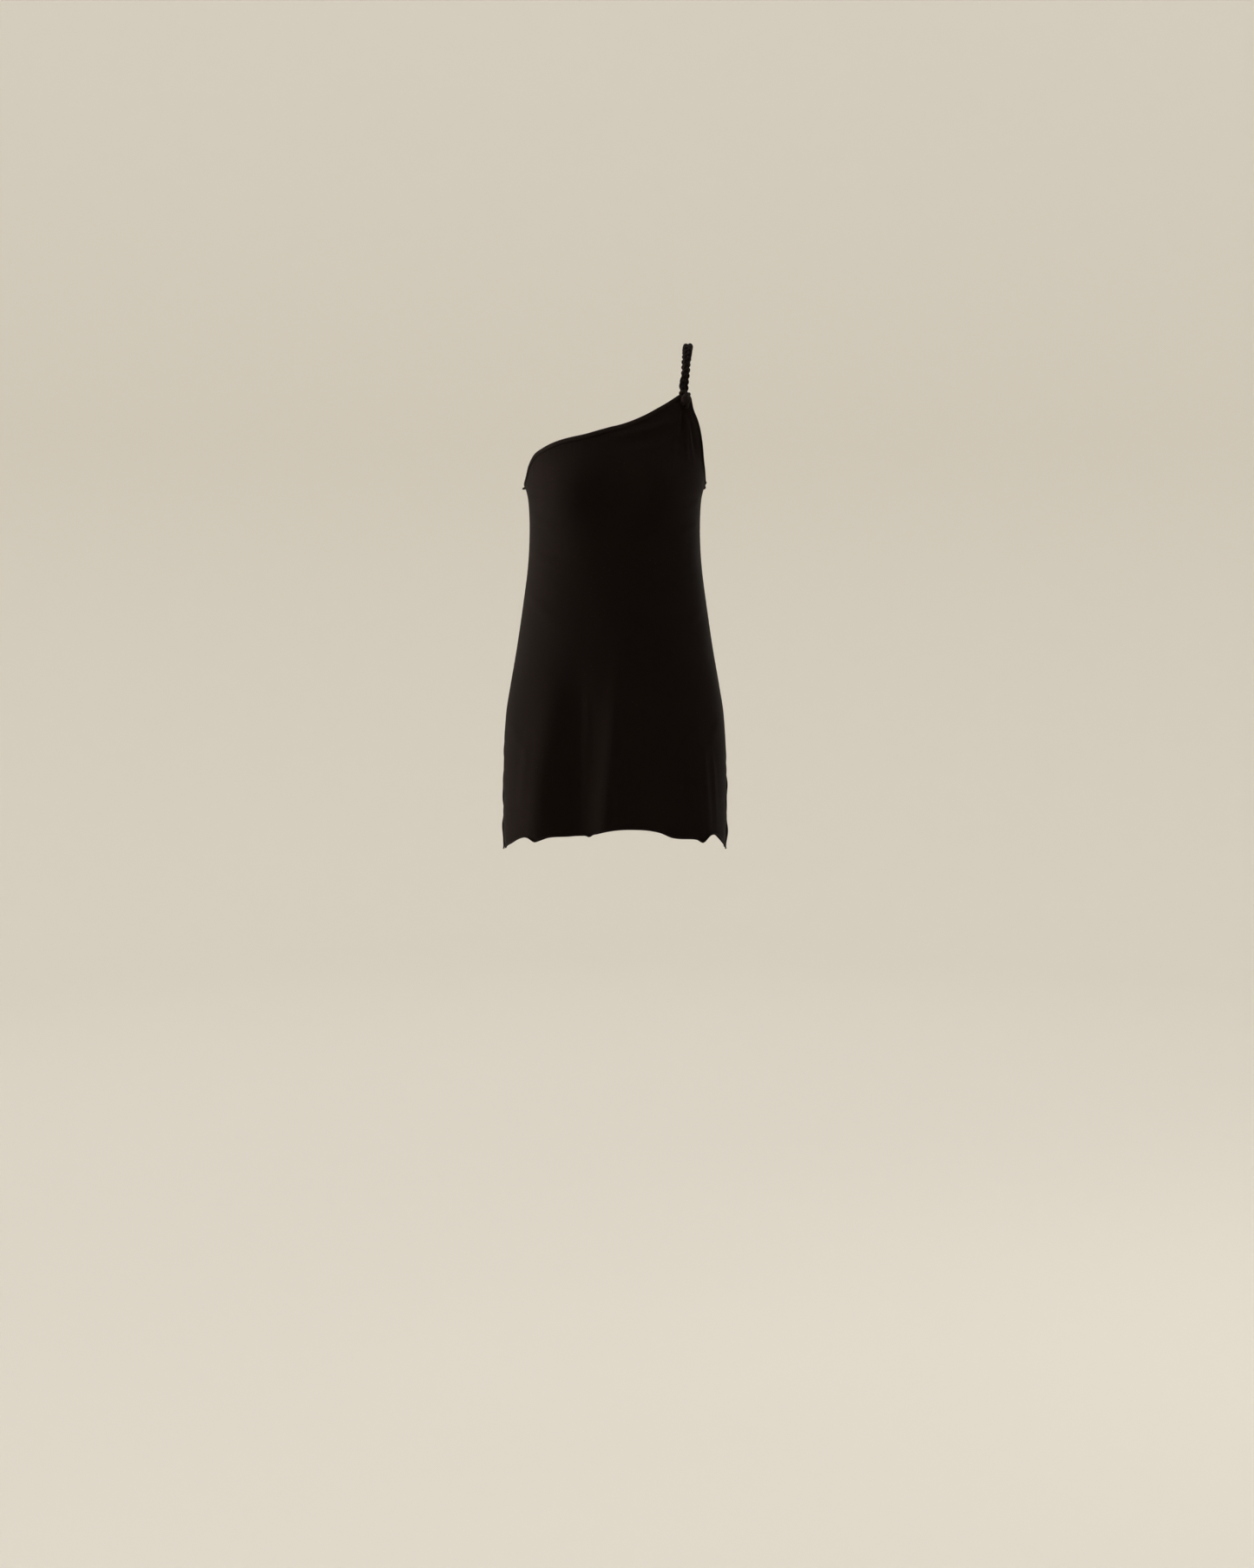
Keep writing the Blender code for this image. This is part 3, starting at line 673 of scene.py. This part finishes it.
def map_cloth(made, flat):
    """Gives a piece its flat map in metres, from the flat place of each of its points."""
    layer = made.data.uv_layers.new(name="cloth")
    corners = np.zeros(len(made.data.loops), np.int32)
    made.data.loops.foreach_get("vertex_index", corners)
    layer.data.foreach_set("uv", flat[corners].ravel())


def map_lump(made, radius):
    """Brings a rounded lump's map from shares of a turn to metres."""
    layer = made.data.uv_layers.active
    flat = np.zeros(2 * len(layer.data), np.float32)
    layer.data.foreach_get("uv", flat)
    flat = flat.reshape(-1, 2) * (2 * math.pi * radius, math.pi * radius)
    layer.data.foreach_set("uv", flat.ravel())


def face_outward(made):
    """Turns the faces of a closed piece outward."""
    maker = bmesh.new()
    maker.from_mesh(made.data)
    bmesh.ops.recalc_face_normals(maker, faces=maker.faces)
    maker.to_mesh(made.data)
    maker.free()
    made.data.shade_smooth()


def loft(name, rings):
    """A closed piece over rings of as many points each, [ring][point], mapped flat round and along."""
    rings = np.asarray(rings)
    count, size = rings.shape[:2]
    ids = np.arange(count * size).reshape(count, size)
    after = np.roll(ids, -1, axis=1)
    faces = np.stack([ids[:-1], after[:-1], after[1:], ids[1:]], -1).reshape(-1, 4).tolist()
    faces += [ids[0][::-1].tolist(), ids[-1].tolist()]
    made = new_object(name, rings.reshape(-1, 3), faces)
    face_outward(made)
    along = run_along(rings.mean(axis=1))
    steps = np.linalg.norm(rings[count // 2] - np.roll(rings[count // 2], 1, axis=0), axis=1)
    steps[0] = 0
    flat = np.stack(np.broadcast_arrays(np.cumsum(steps)[None, :], along[:, None]), -1)
    map_cloth(made, flat.reshape(-1, 2))
    return made


def evened(vectors):
    """Unit directions evened out along their line, so that a strip keeps its width round tight turns."""
    weights = np.hanning(2 * SMOOTH_STEPS + 1)
    weights = weights / weights.sum()
    padded = np.pad(vectors, ((SMOOTH_STEPS, SMOOTH_STEPS), (0, 0)), "edge")
    return unit(np.stack([np.convolve(padded[:, k], weights, "valid") for k in range(3)], -1))


def edge_line(stops):
    """Runs, points, ways down and ways out along a bound edge, from (side, from, to) in degrees."""
    edges, inners, outs = [], [], []
    for side, start, end in stops:
        degrees = np.linspace(start, end, EDGE_STEPS)
        top = top_height(side, degrees)
        edge = form(side, degrees, top, fine=False)
        inner = form(side, degrees, top - strip_drop(side, degrees), fine=False)
        out = unit(np.cross(np.gradient(edge, axis=0), inner - edge))
        from_middle = edge - np.array([bpy.context.scene.tank_cloth.centre, 0, 0])
        out *= np.sign((out * from_middle * np.array([1, 1, 0])).sum(-1, keepdims=True))
        edges.append(edge)
        inners.append(inner)
        outs.append(out)
    edge, inner, out = (np.concatenate(parts) for parts in (edges, inners, outs))
    down = evened(unit(inner - edge))
    return run_along(edge), edge, down, square_to(evened(out), down)


def at_runs(run, values, places):
    return np.stack([np.interp(places, run, values[:, k]) for k in range(3)], -1)


def strip(name, stops, swollen_at=None):
    """A strip folded round a bound edge, lightly pinched under each stitch."""
    trim = bpy.context.scene.tank_trim
    run, *lines = edge_line(stops)
    count = int(trim.sections * run[-1] / 0.6) + 40
    places = np.linspace(0, run[-1], count)
    edge, down, out = (at_runs(run, line, places) for line in lines)
    down, out = unit(down), unit(out)
    wave = 1 + 0.05 * np.sin(places * 190) + 0.04 * np.sin(places * 83 + 1.3)
    if swollen_at is not None:
        away = np.abs(places - swollen_at * run[-1])
        wave = wave + 0.55 * np.exp(-away / 0.008) * (0.6 + 0.4 * np.cos(away * 2 * math.pi / 0.0052))
    pinch = 0.5 + 0.5 * np.cos(2 * math.pi * places / trim.pitch)
    rings = []
    for k in range(count):
        line = []
        for up, rise in STRIP_LINE:
            stitch = math.exp(-(((up - trim.margin / trim.width) / 0.12) ** 2))
            rise = trim.rise * (rise * wave[k] - 0.16 * pinch[k] * stitch)
            over = trim.width + (up - 1) / LIP_SHARE * trim.lip * wave[k]
            line.append((up * trim.width if up < 1 else over, rise))
        inside = []
        for up, rise in line[1:]:
            up = max(up, 0.0) if up < trim.width else trim.width + (up - trim.width) * 0.35
            inside.append((up, max(rise - trim.wall, trim.rise * 0.1)))
        loop = line + [(up, -rise) for up, rise in line[::-1]]
        loop += [(up, -rise) for up, rise in inside] + inside[::-1]
        rings.append([edge[k] + down[k] * (trim.width - up) + out[k] * rise for up, rise in loop])
    return loft(name, rings)


def one_stitch():
    """Points and faces of a single stitch along X."""
    trim = bpy.context.scene.tank_trim
    deselect()
    bpy.ops.mesh.primitive_uv_sphere_add(segments=6, ring_count=5, radius=1)
    made = bpy.context.object
    bpy.ops.transform.rotate(value=math.pi / 2, orient_axis="Y", center_override=(0, 0, 0))
    bpy.ops.object.transform_apply(location=False, rotation=True, scale=False)
    bpy.ops.transform.resize(value=(trim.stitch / 2, trim.thread, trim.thread))
    bpy.ops.object.transform_apply(location=False, rotation=False, scale=True)
    corners = np.array([v.co for v in made.data.vertices])
    faces = [list(p.vertices) for p in made.data.polygons]
    bpy.data.objects.remove(made)
    return corners, faces


def sewn_piece(name, placed, faces):
    """One piece from copies of a stitch, each given by its placed points."""
    count = len(placed[0])
    copies = [[i + k * count for i in face] for k in range(len(placed)) for face in faces]
    return new_object(name, np.concatenate(placed), copies)


def stitch_row(name, stops):
    """Stitches along a strip's lower edge, outside and inside, as one piece."""
    trim = bpy.context.scene.tank_trim
    run, edge, down, out = edge_line(stops)
    corners, faces = one_stitch()
    places = np.arange(trim.pitch * 0.5, run[-1], trim.pitch)
    edge_at, down_at, out_at = (at_runs(run, a, places) for a in (edge, down, out))
    after, before = np.minimum(places + 0.001, run[-1]), np.maximum(places - 0.001, 0)
    ahead = unit(at_runs(run, edge, after) - at_runs(run, edge, before))
    placed = []
    for k in range(len(places)):
        lean = 0.07 * math.sin(k * 2.1)
        cos, sin = math.cos(lean), math.sin(lean)
        turned = corners @ np.array([[cos, sin, 0], [-sin, cos, 0], [0, 0, 1]])
        turned = turned @ np.stack([ahead[k], down_at[k], out_at[k]])
        low = edge_at[k] + down_at[k] * (trim.width - trim.margin)
        for side in (1, -1):
            placed.append(turned + low + out_at[k] * side * trim.rise * 0.90)
    made = sewn_piece(name, placed, faces)
    face_outward(made)
    return made


def tube(name, middles, halves, face, sides, flatness, groove, turns):
    """Rolled jersey along a line of points, its flat side to the face directions.

    Its rolled edge is a shallow groove that turns round it by so many radians a metre.
    """
    ahead = unit(np.gradient(middles, axis=0))
    deep = square_to(face, ahead)
    aside = np.cross(ahead, deep)
    angles = np.linspace(0, 2 * math.pi, sides, endpoint=False)
    run = run_along(middles)
    rings = []
    for k in range(len(middles)):
        from_groove = (angles - turns * run[k] + math.pi) % (2 * math.pi) - math.pi
        size = 1 - groove * np.exp(-((from_groove / 0.42) ** 2)) + 0.025 * np.sin(3 * angles + run[k] * 700)
        wide, thick = np.cos(angles) * size * halves[k], np.sin(angles) * size * halves[k] * flatness
        rings.append(middles[k] + aside[k] * wide[:, None] + deep[k] * thick[:, None])
    return loft(name, rings)


def knot_frame():
    """The knot's axes on the front's corner: across, into the garment and up the cloth; and its middle."""
    across, height = KNOT_PLACE
    share = across / through(HALF_WIDTH, np.array(height))
    degrees = math.degrees(math.asin(share ** (ROUNDNESS / 2)))

    def at(turn, rise):
        return form(FRONT, np.array(degrees + turn), np.array(height + rise), fine=False)

    along = unit(at(2, 0) - at(-2, 0))
    up = square_to(at(0, 0.004) - at(0, -0.004), along)
    return at(0, 0), np.stack([along, np.cross(up, along), up])


def knot_cord(name, stations, face=None):
    """One cord of the knot through its stations, its flat side away from the knot's middle or to face."""
    middle, axes = knot_frame()
    stations = np.array(stations)
    index = np.arange(len(stations))
    fine = np.linspace(0, index[-1], 12 * len(stations))
    local = through_points(index, stations, fine)
    halves = through(list(zip(index, stations[:, 3])), fine)
    ends = np.minimum(fine, index[-1] - fine)
    halves = halves * np.sqrt(np.clip(ends / 0.35, 0.04, 1))
    outward = local * np.array([1, 1, 0.15])
    if face is not None:
        outward = np.broadcast_to(np.array(face, float), local.shape)
    return tube(
        name, middle + local @ axes, halves, outward @ axes, sides=18, flatness=0.72, groove=0.12, turns=60.0)


def strap_line():
    """Places along the strap and its points, from the knot."""
    strap = bpy.context.scene.tank_strap
    middle, axes = knot_frame()
    points = [middle + np.array([0, 0, KNOT_TOP + run]) @ axes for run in (0, strap.foot_run)]
    points = np.concatenate([points, STRAP_ROUTE])
    return run_along(points), points


def strand(name, turn):
    """One of the three strands, which sways to each side in turn and crosses over and under."""
    strap = bpy.context.scene.tank_strap
    stops, points = strap_line()
    whole = stops[-1]
    share = np.linspace(0, 1, strap.sections + 1)
    at = share * whole
    after, before = np.minimum(at + 0.002, whole), np.maximum(at - 0.002, 0)
    ahead = unit(through_points(stops, points, after) - through_points(stops, points, before))
    aside = unit(np.array([1.0, 0, 0]) - ahead * ahead[:, :1])
    lift = np.cross(ahead, aside)
    size = through(STRAP_SIZE, share)
    phase = 2 * math.pi * (at / strap.pitch + turn / 3)
    sway, rise = strap.sway * np.sin(phase), strap.lift * np.sin(2 * phase)
    line = through_points(stops, points, at)
    line = line + (aside * sway[:, None] + lift * rise[:, None]) * size[:, None]
    halves = strap.strand * size**0.7 * (1 + 0.05 * np.sin(at * 410 + turn * 2.0))
    halves *= np.sqrt(np.clip(np.minimum(share, 1 - share) / 0.006, 0.05, 1))
    return tube(name, line, halves, lift, strap.sides, flatness=1.10, groove=0.10, turns=45.0 + 12 * turn)


def bar_tack(name):
    """Close stitches over the strap's back end, where it is sewn to the back panel's corner."""
    points = strap_line()[1]
    ahead = unit(points[-1] - points[-2])
    aside = unit(np.array([1.0, 0, 0]) - ahead * ahead[0])
    out = np.cross(ahead, aside)
    out *= np.sign(out[1])
    corners, faces = one_stitch()
    placed = []
    for k in range(TACK_COUNT):
        middle = points[-1] - ahead * (TACK_START + TACK_STEP * k) + out * (TACK_OVER + TACK_CLIMB * k)
        axes = np.stack([aside + ahead * 0.12 * (-1) ** k, ahead, out])
        placed.append(corners * np.array(TACK_SIZE) @ axes + middle)
    return sewn_piece(name, placed, faces)


def wire(tree, value, socket):
    """Links a socket, or writes a plain value."""
    if isinstance(value, bpy.types.NodeSocket):
        tree.links.new(value, socket)
    else:
        socket.default_value = value


def math_node(tree, operation, *values):
    node = tree.nodes.new("ShaderNodeMath")
    node.operation = operation
    for value, socket in zip(values, node.inputs):
        wire(tree, value, socket)
    return node.outputs[0]


def group_tree(name, inputs, outputs):
    """An empty shader node group with named inputs, (name, kind, value), and outputs."""
    tree = bpy.data.node_groups.new(name, "ShaderNodeTree")
    for label, kind, value in inputs:
        socket = tree.interface.new_socket(label, in_out="INPUT", socket_type=kind)
        if value is not None:
            socket.default_value = value
    for label, kind in outputs:
        tree.interface.new_socket(label, in_out="OUTPUT", socket_type=kind)
    return tree, tree.nodes.new("NodeGroupInput").outputs, tree.nodes.new("NodeGroupOutput").inputs


def knit_group():
    """Height of a fine plain knit, from a flat place in metres."""
    if "Jersey knit" in bpy.data.node_groups:
        return bpy.data.node_groups["Jersey knit"]
    tree, given, result = group_tree(
        "Jersey knit",
        (
            ("Place", "NodeSocketVector", None), ("Wale", "NodeSocketFloat", 0.0009),
            ("Course", "NodeSocketFloat", 0.0007),
        ),
        (("Height", "NodeSocketFloat"),),
    )
    split = tree.nodes.new("ShaderNodeSeparateXYZ")
    tree.links.new(given["Place"], split.inputs[0])
    wales = math_node(tree, "DIVIDE", split.outputs["X"], given["Wale"])
    courses = math_node(tree, "DIVIDE", split.outputs["Y"], given["Course"])
    ribs = math_node(tree, "ABSOLUTE", math_node(tree, "SINE", math_node(tree, "MULTIPLY", wales, math.pi)))
    slant = math_node(tree, "PINGPONG", wales, 0.5)
    loops = math_node(tree, "ADD", courses, slant)
    loops = math_node(tree, "SINE", math_node(tree, "MULTIPLY", loops, 2 * math.pi))
    loops = math_node(tree, "MULTIPLY_ADD", loops, 0.2, 0.2)
    wire(tree, math_node(tree, "MULTIPLY_ADD", ribs, 0.6, loops), result["Height"])
    return tree


def wear_group():
    """Slow unevenness of the dye, a little wear and fine lint."""
    if "Cloth wear" in bpy.data.node_groups:
        return bpy.data.node_groups["Cloth wear"]
    tree, given, result = group_tree(
        "Cloth wear",
        (
            ("Place", "NodeSocketVector", None), ("Cloth", "NodeSocketColor", (0.01, 0.01, 0.01, 1)),
            ("Lint", "NodeSocketColor", (0.05, 0.05, 0.05, 1)), ("Unevenness", "NodeSocketFloat", 0.25),
            ("Lint Amount", "NodeSocketFloat", 0.5),
        ),
        (("Color", "NodeSocketColor"), ("Roughness", "NodeSocketFloat")),
    )
    slow = tree.nodes.new("ShaderNodeTexNoise")
    slow.inputs["Scale"].default_value = 11
    slow.inputs["Detail"].default_value = 5
    tree.links.new(given["Place"], slow.inputs["Vector"])
    uneven = math_node(tree, "SUBTRACT", slow.outputs["Fac"], 0.5)
    strength = math_node(tree, "MULTIPLY", given["Unevenness"], 2.0)
    uneven = math_node(tree, "MULTIPLY_ADD", uneven, strength, 1.0)
    dyed = tree.nodes.new("ShaderNodeVectorMath")
    dyed.operation = "SCALE"
    tree.links.new(given["Cloth"], dyed.inputs[0])
    tree.links.new(uneven, dyed.inputs["Scale"])
    stretch = tree.nodes.new("ShaderNodeMapping")
    stretch.inputs["Rotation"].default_value = (0.3, 0.5, 0.8)
    stretch.inputs["Scale"].default_value = (1.0, 0.35, 2.2)
    tree.links.new(given["Place"], stretch.inputs["Vector"])
    fibres = tree.nodes.new("ShaderNodeTexVoronoi")
    fibres.inputs["Scale"].default_value = 95
    fibres.inputs["Randomness"].default_value = 1
    tree.links.new(stretch.outputs[0], fibres.inputs["Vector"])
    near = math_node(tree, "LESS_THAN", fibres.outputs["Distance"], 0.09)
    sparse = math_node(tree, "GREATER_THAN", slow.outputs["Fac"], 0.55)
    lint = math_node(tree, "MULTIPLY", math_node(tree, "MULTIPLY", near, sparse), given["Lint Amount"])
    blend = tree.nodes.new("ShaderNodeMix")
    blend.data_type = "RGBA"
    tree.links.new(lint, blend.inputs[0])
    tree.links.new(dyed.outputs[0], blend.inputs[6])
    tree.links.new(given["Lint"], blend.inputs[7])
    tree.links.new(blend.outputs[2], result["Color"])
    wire(tree, math_node(tree, "MULTIPLY_ADD", slow.outputs["Fac"], 0.14, 0.78), result["Roughness"])
    return tree


def cloth_material(name, colour, place, knit_depth, sheen):
    """A matt near-black knit. place is "UV" where the piece has a flat map in metres, or "Object"."""
    if name in bpy.data.materials:
        return bpy.data.materials[name]
    cloth = bpy.context.scene.tank_cloth
    material = bpy.data.materials.new(name)
    material.use_nodes = True
    material.diffuse_color = colour
    tree = material.node_tree
    shader = tree.nodes["Principled BSDF"]
    shader.inputs["Specular IOR Level"].default_value = 0.055
    shader.inputs["Specular Tint"].default_value = (1.0, 0.86, 0.82, 1)
    shader.inputs["Sheen Weight"].default_value = sheen
    shader.inputs["Sheen Roughness"].default_value = 0.45
    shader.inputs["Sheen Tint"].default_value = (1.0, 0.90, 0.86, 1)
    places = tree.nodes.new("ShaderNodeTexCoord")
    wear_node = tree.nodes.new("ShaderNodeGroup")
    wear_node.node_tree = wear_group()
    wear_node.inputs["Cloth"].default_value = colour
    wear_node.inputs["Lint"].default_value = cloth.lint
    wear_node.inputs["Unevenness"].default_value = DYE_UNEVENNESS
    tree.links.new(places.outputs["Object"], wear_node.inputs["Place"])
    tree.links.new(wear_node.outputs["Color"], shader.inputs["Base Color"])
    tree.links.new(wear_node.outputs["Roughness"], shader.inputs["Roughness"])
    knit = tree.nodes.new("ShaderNodeGroup")
    knit.node_tree = knit_group()
    knit.inputs["Wale"].default_value = cloth.wale
    knit.inputs["Course"].default_value = cloth.course
    tree.links.new(places.outputs[place], knit.inputs["Place"])
    relief = tree.nodes.new("ShaderNodeBump")
    relief.inputs["Strength"].default_value = 1.0
    relief.inputs["Distance"].default_value = knit_depth
    tree.links.new(knit.outputs["Height"], relief.inputs["Height"])
    tree.links.new(relief.outputs[0], shader.inputs["Normal"])
    return material


class OBJECT_OT_tank_panels(bpy.types.Operator):
    """Builds the front and back jersey panels"""

    bl_idname = "object.tank_panels"
    bl_label = "Jersey Panels"

    def execute(self, context):
        jersey = cloth_material("black_jersey", context.scene.tank_cloth.colour, "UV", 0.00010, 0.012)
        for side, name, node in ((FRONT, "front_cloth", "front_panel"), (BACK, "back_cloth", "back_panel")):
            wear(panel(side, name), jersey, "jersey", node)
        return {"FINISHED"}


class OBJECT_OT_tank_trim(bpy.types.Operator):
    """Builds the neck and armhole bindings with their stitches"""

    bl_idname = "object.tank_trim"
    bl_label = "Bindings"

    def execute(self, context):
        trim = context.scene.tank_trim
        # Painted light: the bindings get a colour lighter than the jersey, for the light that the rounded
        # band catches.
        binding = cloth_material("black_binding_painted_light", trim.colour, "UV", 0.00008, 0.02)
        thread = cloth_material("black_thread", trim.thread_colour, "Object", 0.00004, 0.02)
        neck = ((FRONT, 36.0, -90), (BACK, -90, 37.0))
        arm = ((FRONT, 43.0, 90), (BACK, 90, 43.0))
        wear(strip("neck_band", neck), binding, "binding", "neck_binding_front", "neck_binding_back")
        armhole = strip("armhole_band", arm, swollen_at=0.0)
        wear(armhole, binding, "binding", "armhole_binding_front", "armhole_binding_back")
        wear(stitch_row("neck_stitches", neck), thread, "binding")
        wear(stitch_row("armhole_stitches", arm), thread, "binding")
        return {"FINISHED"}


class OBJECT_OT_tank_tabs(bpy.types.Operator):
    """Builds the small ends of the bindings that stand out at the tops of the side seams"""

    bl_idname = "object.tank_tabs"
    bl_label = "Binding Ends"

    def execute(self, context):
        # Painted light: the binding ends share the bindings' lighter colour, which stands in for the light
        # that the band catches.
        binding = cloth_material("black_binding_painted_light", context.scene.tank_trim.colour, "UV", 0.00008, 0.02)
        for name, hand, height, size, lean in TABS:
            deselect()
            bpy.ops.mesh.primitive_uv_sphere_add(segments=16, ring_count=10, radius=1)
            tab = context.object
            tab.name = tab.data.name = name
            bpy.ops.object.mode_set(mode="EDIT")
            bpy.ops.transform.resize(value=size)
            bpy.ops.transform.rotate(value=lean, orient_axis="Y", center_override=(0, 0, 0))
            middle = context.scene.tank_cloth.centre + hand * float(through(HALF_WIDTH, np.array(height)))
            bpy.ops.transform.translate(value=(middle + hand * size[0] * TAB_OUT, 0, height))
            bpy.ops.object.mode_set(mode="OBJECT")
            tab.data.shade_smooth()
            map_lump(tab, sum(size) / 3)
            wear(tab, binding, "binding")
        return {"FINISHED"}


class OBJECT_OT_tank_strap(bpy.types.Operator):
    """Builds the plaited strap's three strands and the stitches that hold its back end"""

    bl_idname = "object.tank_strap"
    bl_label = "Plaited Strap"

    def execute(self, context):
        # Painted shade: the strands get the darker plait colour, for the shade in the plait's grooves.
        plait = cloth_material("black_plait_painted_shade", context.scene.tank_strap.colour, "UV", 0.00010, 0.02)
        for turn in range(3):
            wear(strand(f"plait_{turn + 1}", turn), plait, "plait", f"strap_strand_{turn + 1}")
        thread_colour = context.scene.tank_trim.thread_colour
        thread = cloth_material("black_thread", thread_colour, "Object", 0.00004, 0.02)
        wear(bar_tack("strap_tack"), thread, "plait")
        return {"FINISHED"}


class OBJECT_OT_tank_knot(bpy.types.Operator):
    """Builds the knot under the strap from cords of rolled jersey"""

    bl_idname = "object.tank_knot"
    bl_label = "Knot"

    def execute(self, context):
        strap = context.scene.tank_strap
        # Painted light: the knot's core and cords get the lighter knot colour, for the light on the knot's
        # front.
        tight = cloth_material("black_knot_painted_light", strap.knot_colour, "UV", 0.00010, 0.02)
        middle, axes = knot_frame()
        deselect()
        bpy.ops.mesh.primitive_uv_sphere_add(segments=32, ring_count=20, radius=1)
        core = context.object
        core.name = core.data.name = "knot_core"
        bpy.ops.transform.resize(value=tuple(strap.core))
        bpy.ops.object.transform_apply(location=False, rotation=False, scale=True)
        turned = Matrix([list(row) for row in axes.T]).to_4x4()
        core.data.transform(Matrix.Translation(Vector(middle)) @ turned)
        core.data.shade_smooth()
        map_lump(core, sum(strap.core) / 3)
        wear(core, tight, "plait", "knot")
        wear(knot_cord("knot_wrap", KNOT_WRAP), tight, "plait")
        wear(knot_cord("knot_over", KNOT_OVER), tight, "plait", "knot_tail")
        wear(knot_cord("knot_end", KNOT_END, (0, -1, 0)), tight, "plait")
        return {"FINISHED"}


class OBJECT_OT_tank_declare(bpy.types.Operator):
    """Stops with an error if either jersey panel has not been built"""

    bl_idname = "object.tank_declare"
    bl_label = "Sheets"

    def execute(self, context):
        objects = bpy.data.objects
        for name, area, others in (
            ("front_cloth", 0.245, ("neck_band", "neck_stitches")),
            ("back_cloth", 0.235, ("armhole_band", "armhole_stitches")),
        ):
            if name not in objects:
                raise RuntimeError(f"{name} is missing: build the panels first")
        return {"FINISHED"}


def soft_light(name, place, target, size, power, spread):
    """A square soft light, out of the camera's sight, aimed at a target."""
    light = bpy.data.lights.new(name, "AREA")
    light.shape, light.size, light.energy, light.spread = "SQUARE", size, power, spread
    light.color = bpy.context.scene.tank_stage.light_colour
    lamp = bpy.data.objects.new(name, light)
    bpy.context.scene.collection.objects.link(lamp)
    lamp.location = place
    lamp.rotation_euler = (Vector(target) - lamp.location).to_track_quat("-Z", "Y").to_euler()
    lamp.visible_camera = False


class OBJECT_OT_tank_stage(bpy.types.Operator):
    """Builds the pale studio, its soft light and the camera"""

    bl_idname = "object.tank_stage"
    bl_label = "Studio"

    def execute(self, context):
        stage = context.scene.tank_stage
        deselect()
        bpy.ops.mesh.primitive_circle_add(
            vertices=96, radius=stage.reach, fill_type="NGON", location=(0, 0, stage.floor))
        studio = context.object
        studio.name = studio.data.name = "studio"
        bpy.ops.object.transform_apply(location=True)
        bpy.ops.object.mode_set(mode="EDIT")
        bpy.ops.mesh.select_all(action="SELECT")
        bpy.ops.mesh.extrude_region_move(TRANSFORM_OT_translate={"value": (0, 0, stage.tall)})
        bpy.ops.mesh.delete(type="ONLY_FACE")
        bpy.ops.object.mode_set(mode="OBJECT")
        maker = bmesh.new()
        maker.from_mesh(studio.data)
        low = [e for e in maker.edges if all(v.co.z < stage.floor + 0.01 for v in e.verts)]
        bmesh.ops.bevel(maker, geom=low, offset=stage.cove, segments=14, affect="EDGES", profile=0.5)
        bmesh.ops.recalc_face_normals(maker, faces=maker.faces)
        bmesh.ops.reverse_faces(maker, faces=maker.faces)
        maker.to_mesh(studio.data)
        maker.free()
        studio.data.shade_smooth()
        paint = bpy.data.materials.new("studio_paint")
        paint.use_nodes = True
        shader = paint.node_tree.nodes["Principled BSDF"]
        shader.inputs["Base Color"].default_value = stage.paint
        shader.inputs["Roughness"].default_value = 0.95
        shader.inputs["Specular IOR Level"].default_value = 0.1
        studio.data.materials.append(paint)

        chest, waist = [(context.scene.tank_cloth.centre, 0, height) for height in (CHEST, WAIST)]
        soft_light("soft_key", stage.key_place, chest, stage.key_size, stage.key_power, stage.key_spread)
        soft_light("soft_rim", stage.rim_place, waist, stage.key_size, stage.rim_power, stage.key_spread)
        below = (stage.wash_place[0], stage.wash_place[1] + WASH_LEAD, stage.floor)
        soft_light("soft_wash", stage.wash_place, below, stage.wash_size, stage.wash_power, math.pi)

        world = bpy.data.worlds.new("studio_air")
        context.scene.world = world
        world.use_nodes = True
        air = world.node_tree.nodes["Background"]
        air.inputs["Color"].default_value = stage.sky
        air.inputs["Strength"].default_value = stage.sky_power

        eye = bpy.data.cameras.new("camera")
        eye.lens = stage.lens
        camera = bpy.data.objects.new("camera", eye)
        context.scene.collection.objects.link(camera)
        camera.location = stage.camera_place
        camera.rotation_euler = (math.pi / 2 - stage.camera_tilt, 0, 0)
        context.scene.camera = camera
        context.scene.view_settings.view_transform = "Standard"
        return {"FINISHED"}


class VIEW3D_PT_tank_top(bpy.types.Panel):
    """Steps that build the tank top"""

    bl_label = "Tank Top"
    bl_idname = "VIEW3D_PT_tank_top"
    bl_space_type = "VIEW_3D"
    bl_region_type = "UI"
    bl_category = "Tank Top"

    def draw(self, context):
        for step in STEPS:
            self.layout.operator(step.bl_idname)


SETTINGS = (
    ("tank_cloth", TankClothSettings), ("tank_trim", TankTrimSettings), ("tank_strap", TankStrapSettings),
    ("tank_stage", TankStageSettings),
)
STEPS = (
    OBJECT_OT_tank_panels, OBJECT_OT_tank_trim, OBJECT_OT_tank_tabs, OBJECT_OT_tank_strap,
    OBJECT_OT_tank_knot, OBJECT_OT_tank_declare, OBJECT_OT_tank_stage,
)


def register():
    for name, settings in SETTINGS:
        bpy.utils.register_class(settings)
        setattr(bpy.types.Scene, name, PointerProperty(type=settings))
    for each in (*STEPS, VIEW3D_PT_tank_top):
        bpy.utils.register_class(each)


def unregister():
    for each in (VIEW3D_PT_tank_top, *STEPS[::-1]):
        bpy.utils.unregister_class(each)
    for name, settings in SETTINGS[::-1]:
        delattr(bpy.types.Scene, name)
        bpy.utils.unregister_class(settings)


def main():
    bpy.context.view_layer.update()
    register()
    bpy.ops.object.tank_panels()
    bpy.ops.object.tank_trim()
    bpy.ops.object.tank_tabs()
    bpy.ops.object.tank_strap()
    bpy.ops.object.tank_knot()
    bpy.ops.object.tank_declare()
    bpy.ops.object.tank_stage()


if __name__ == "__main__":
    main()
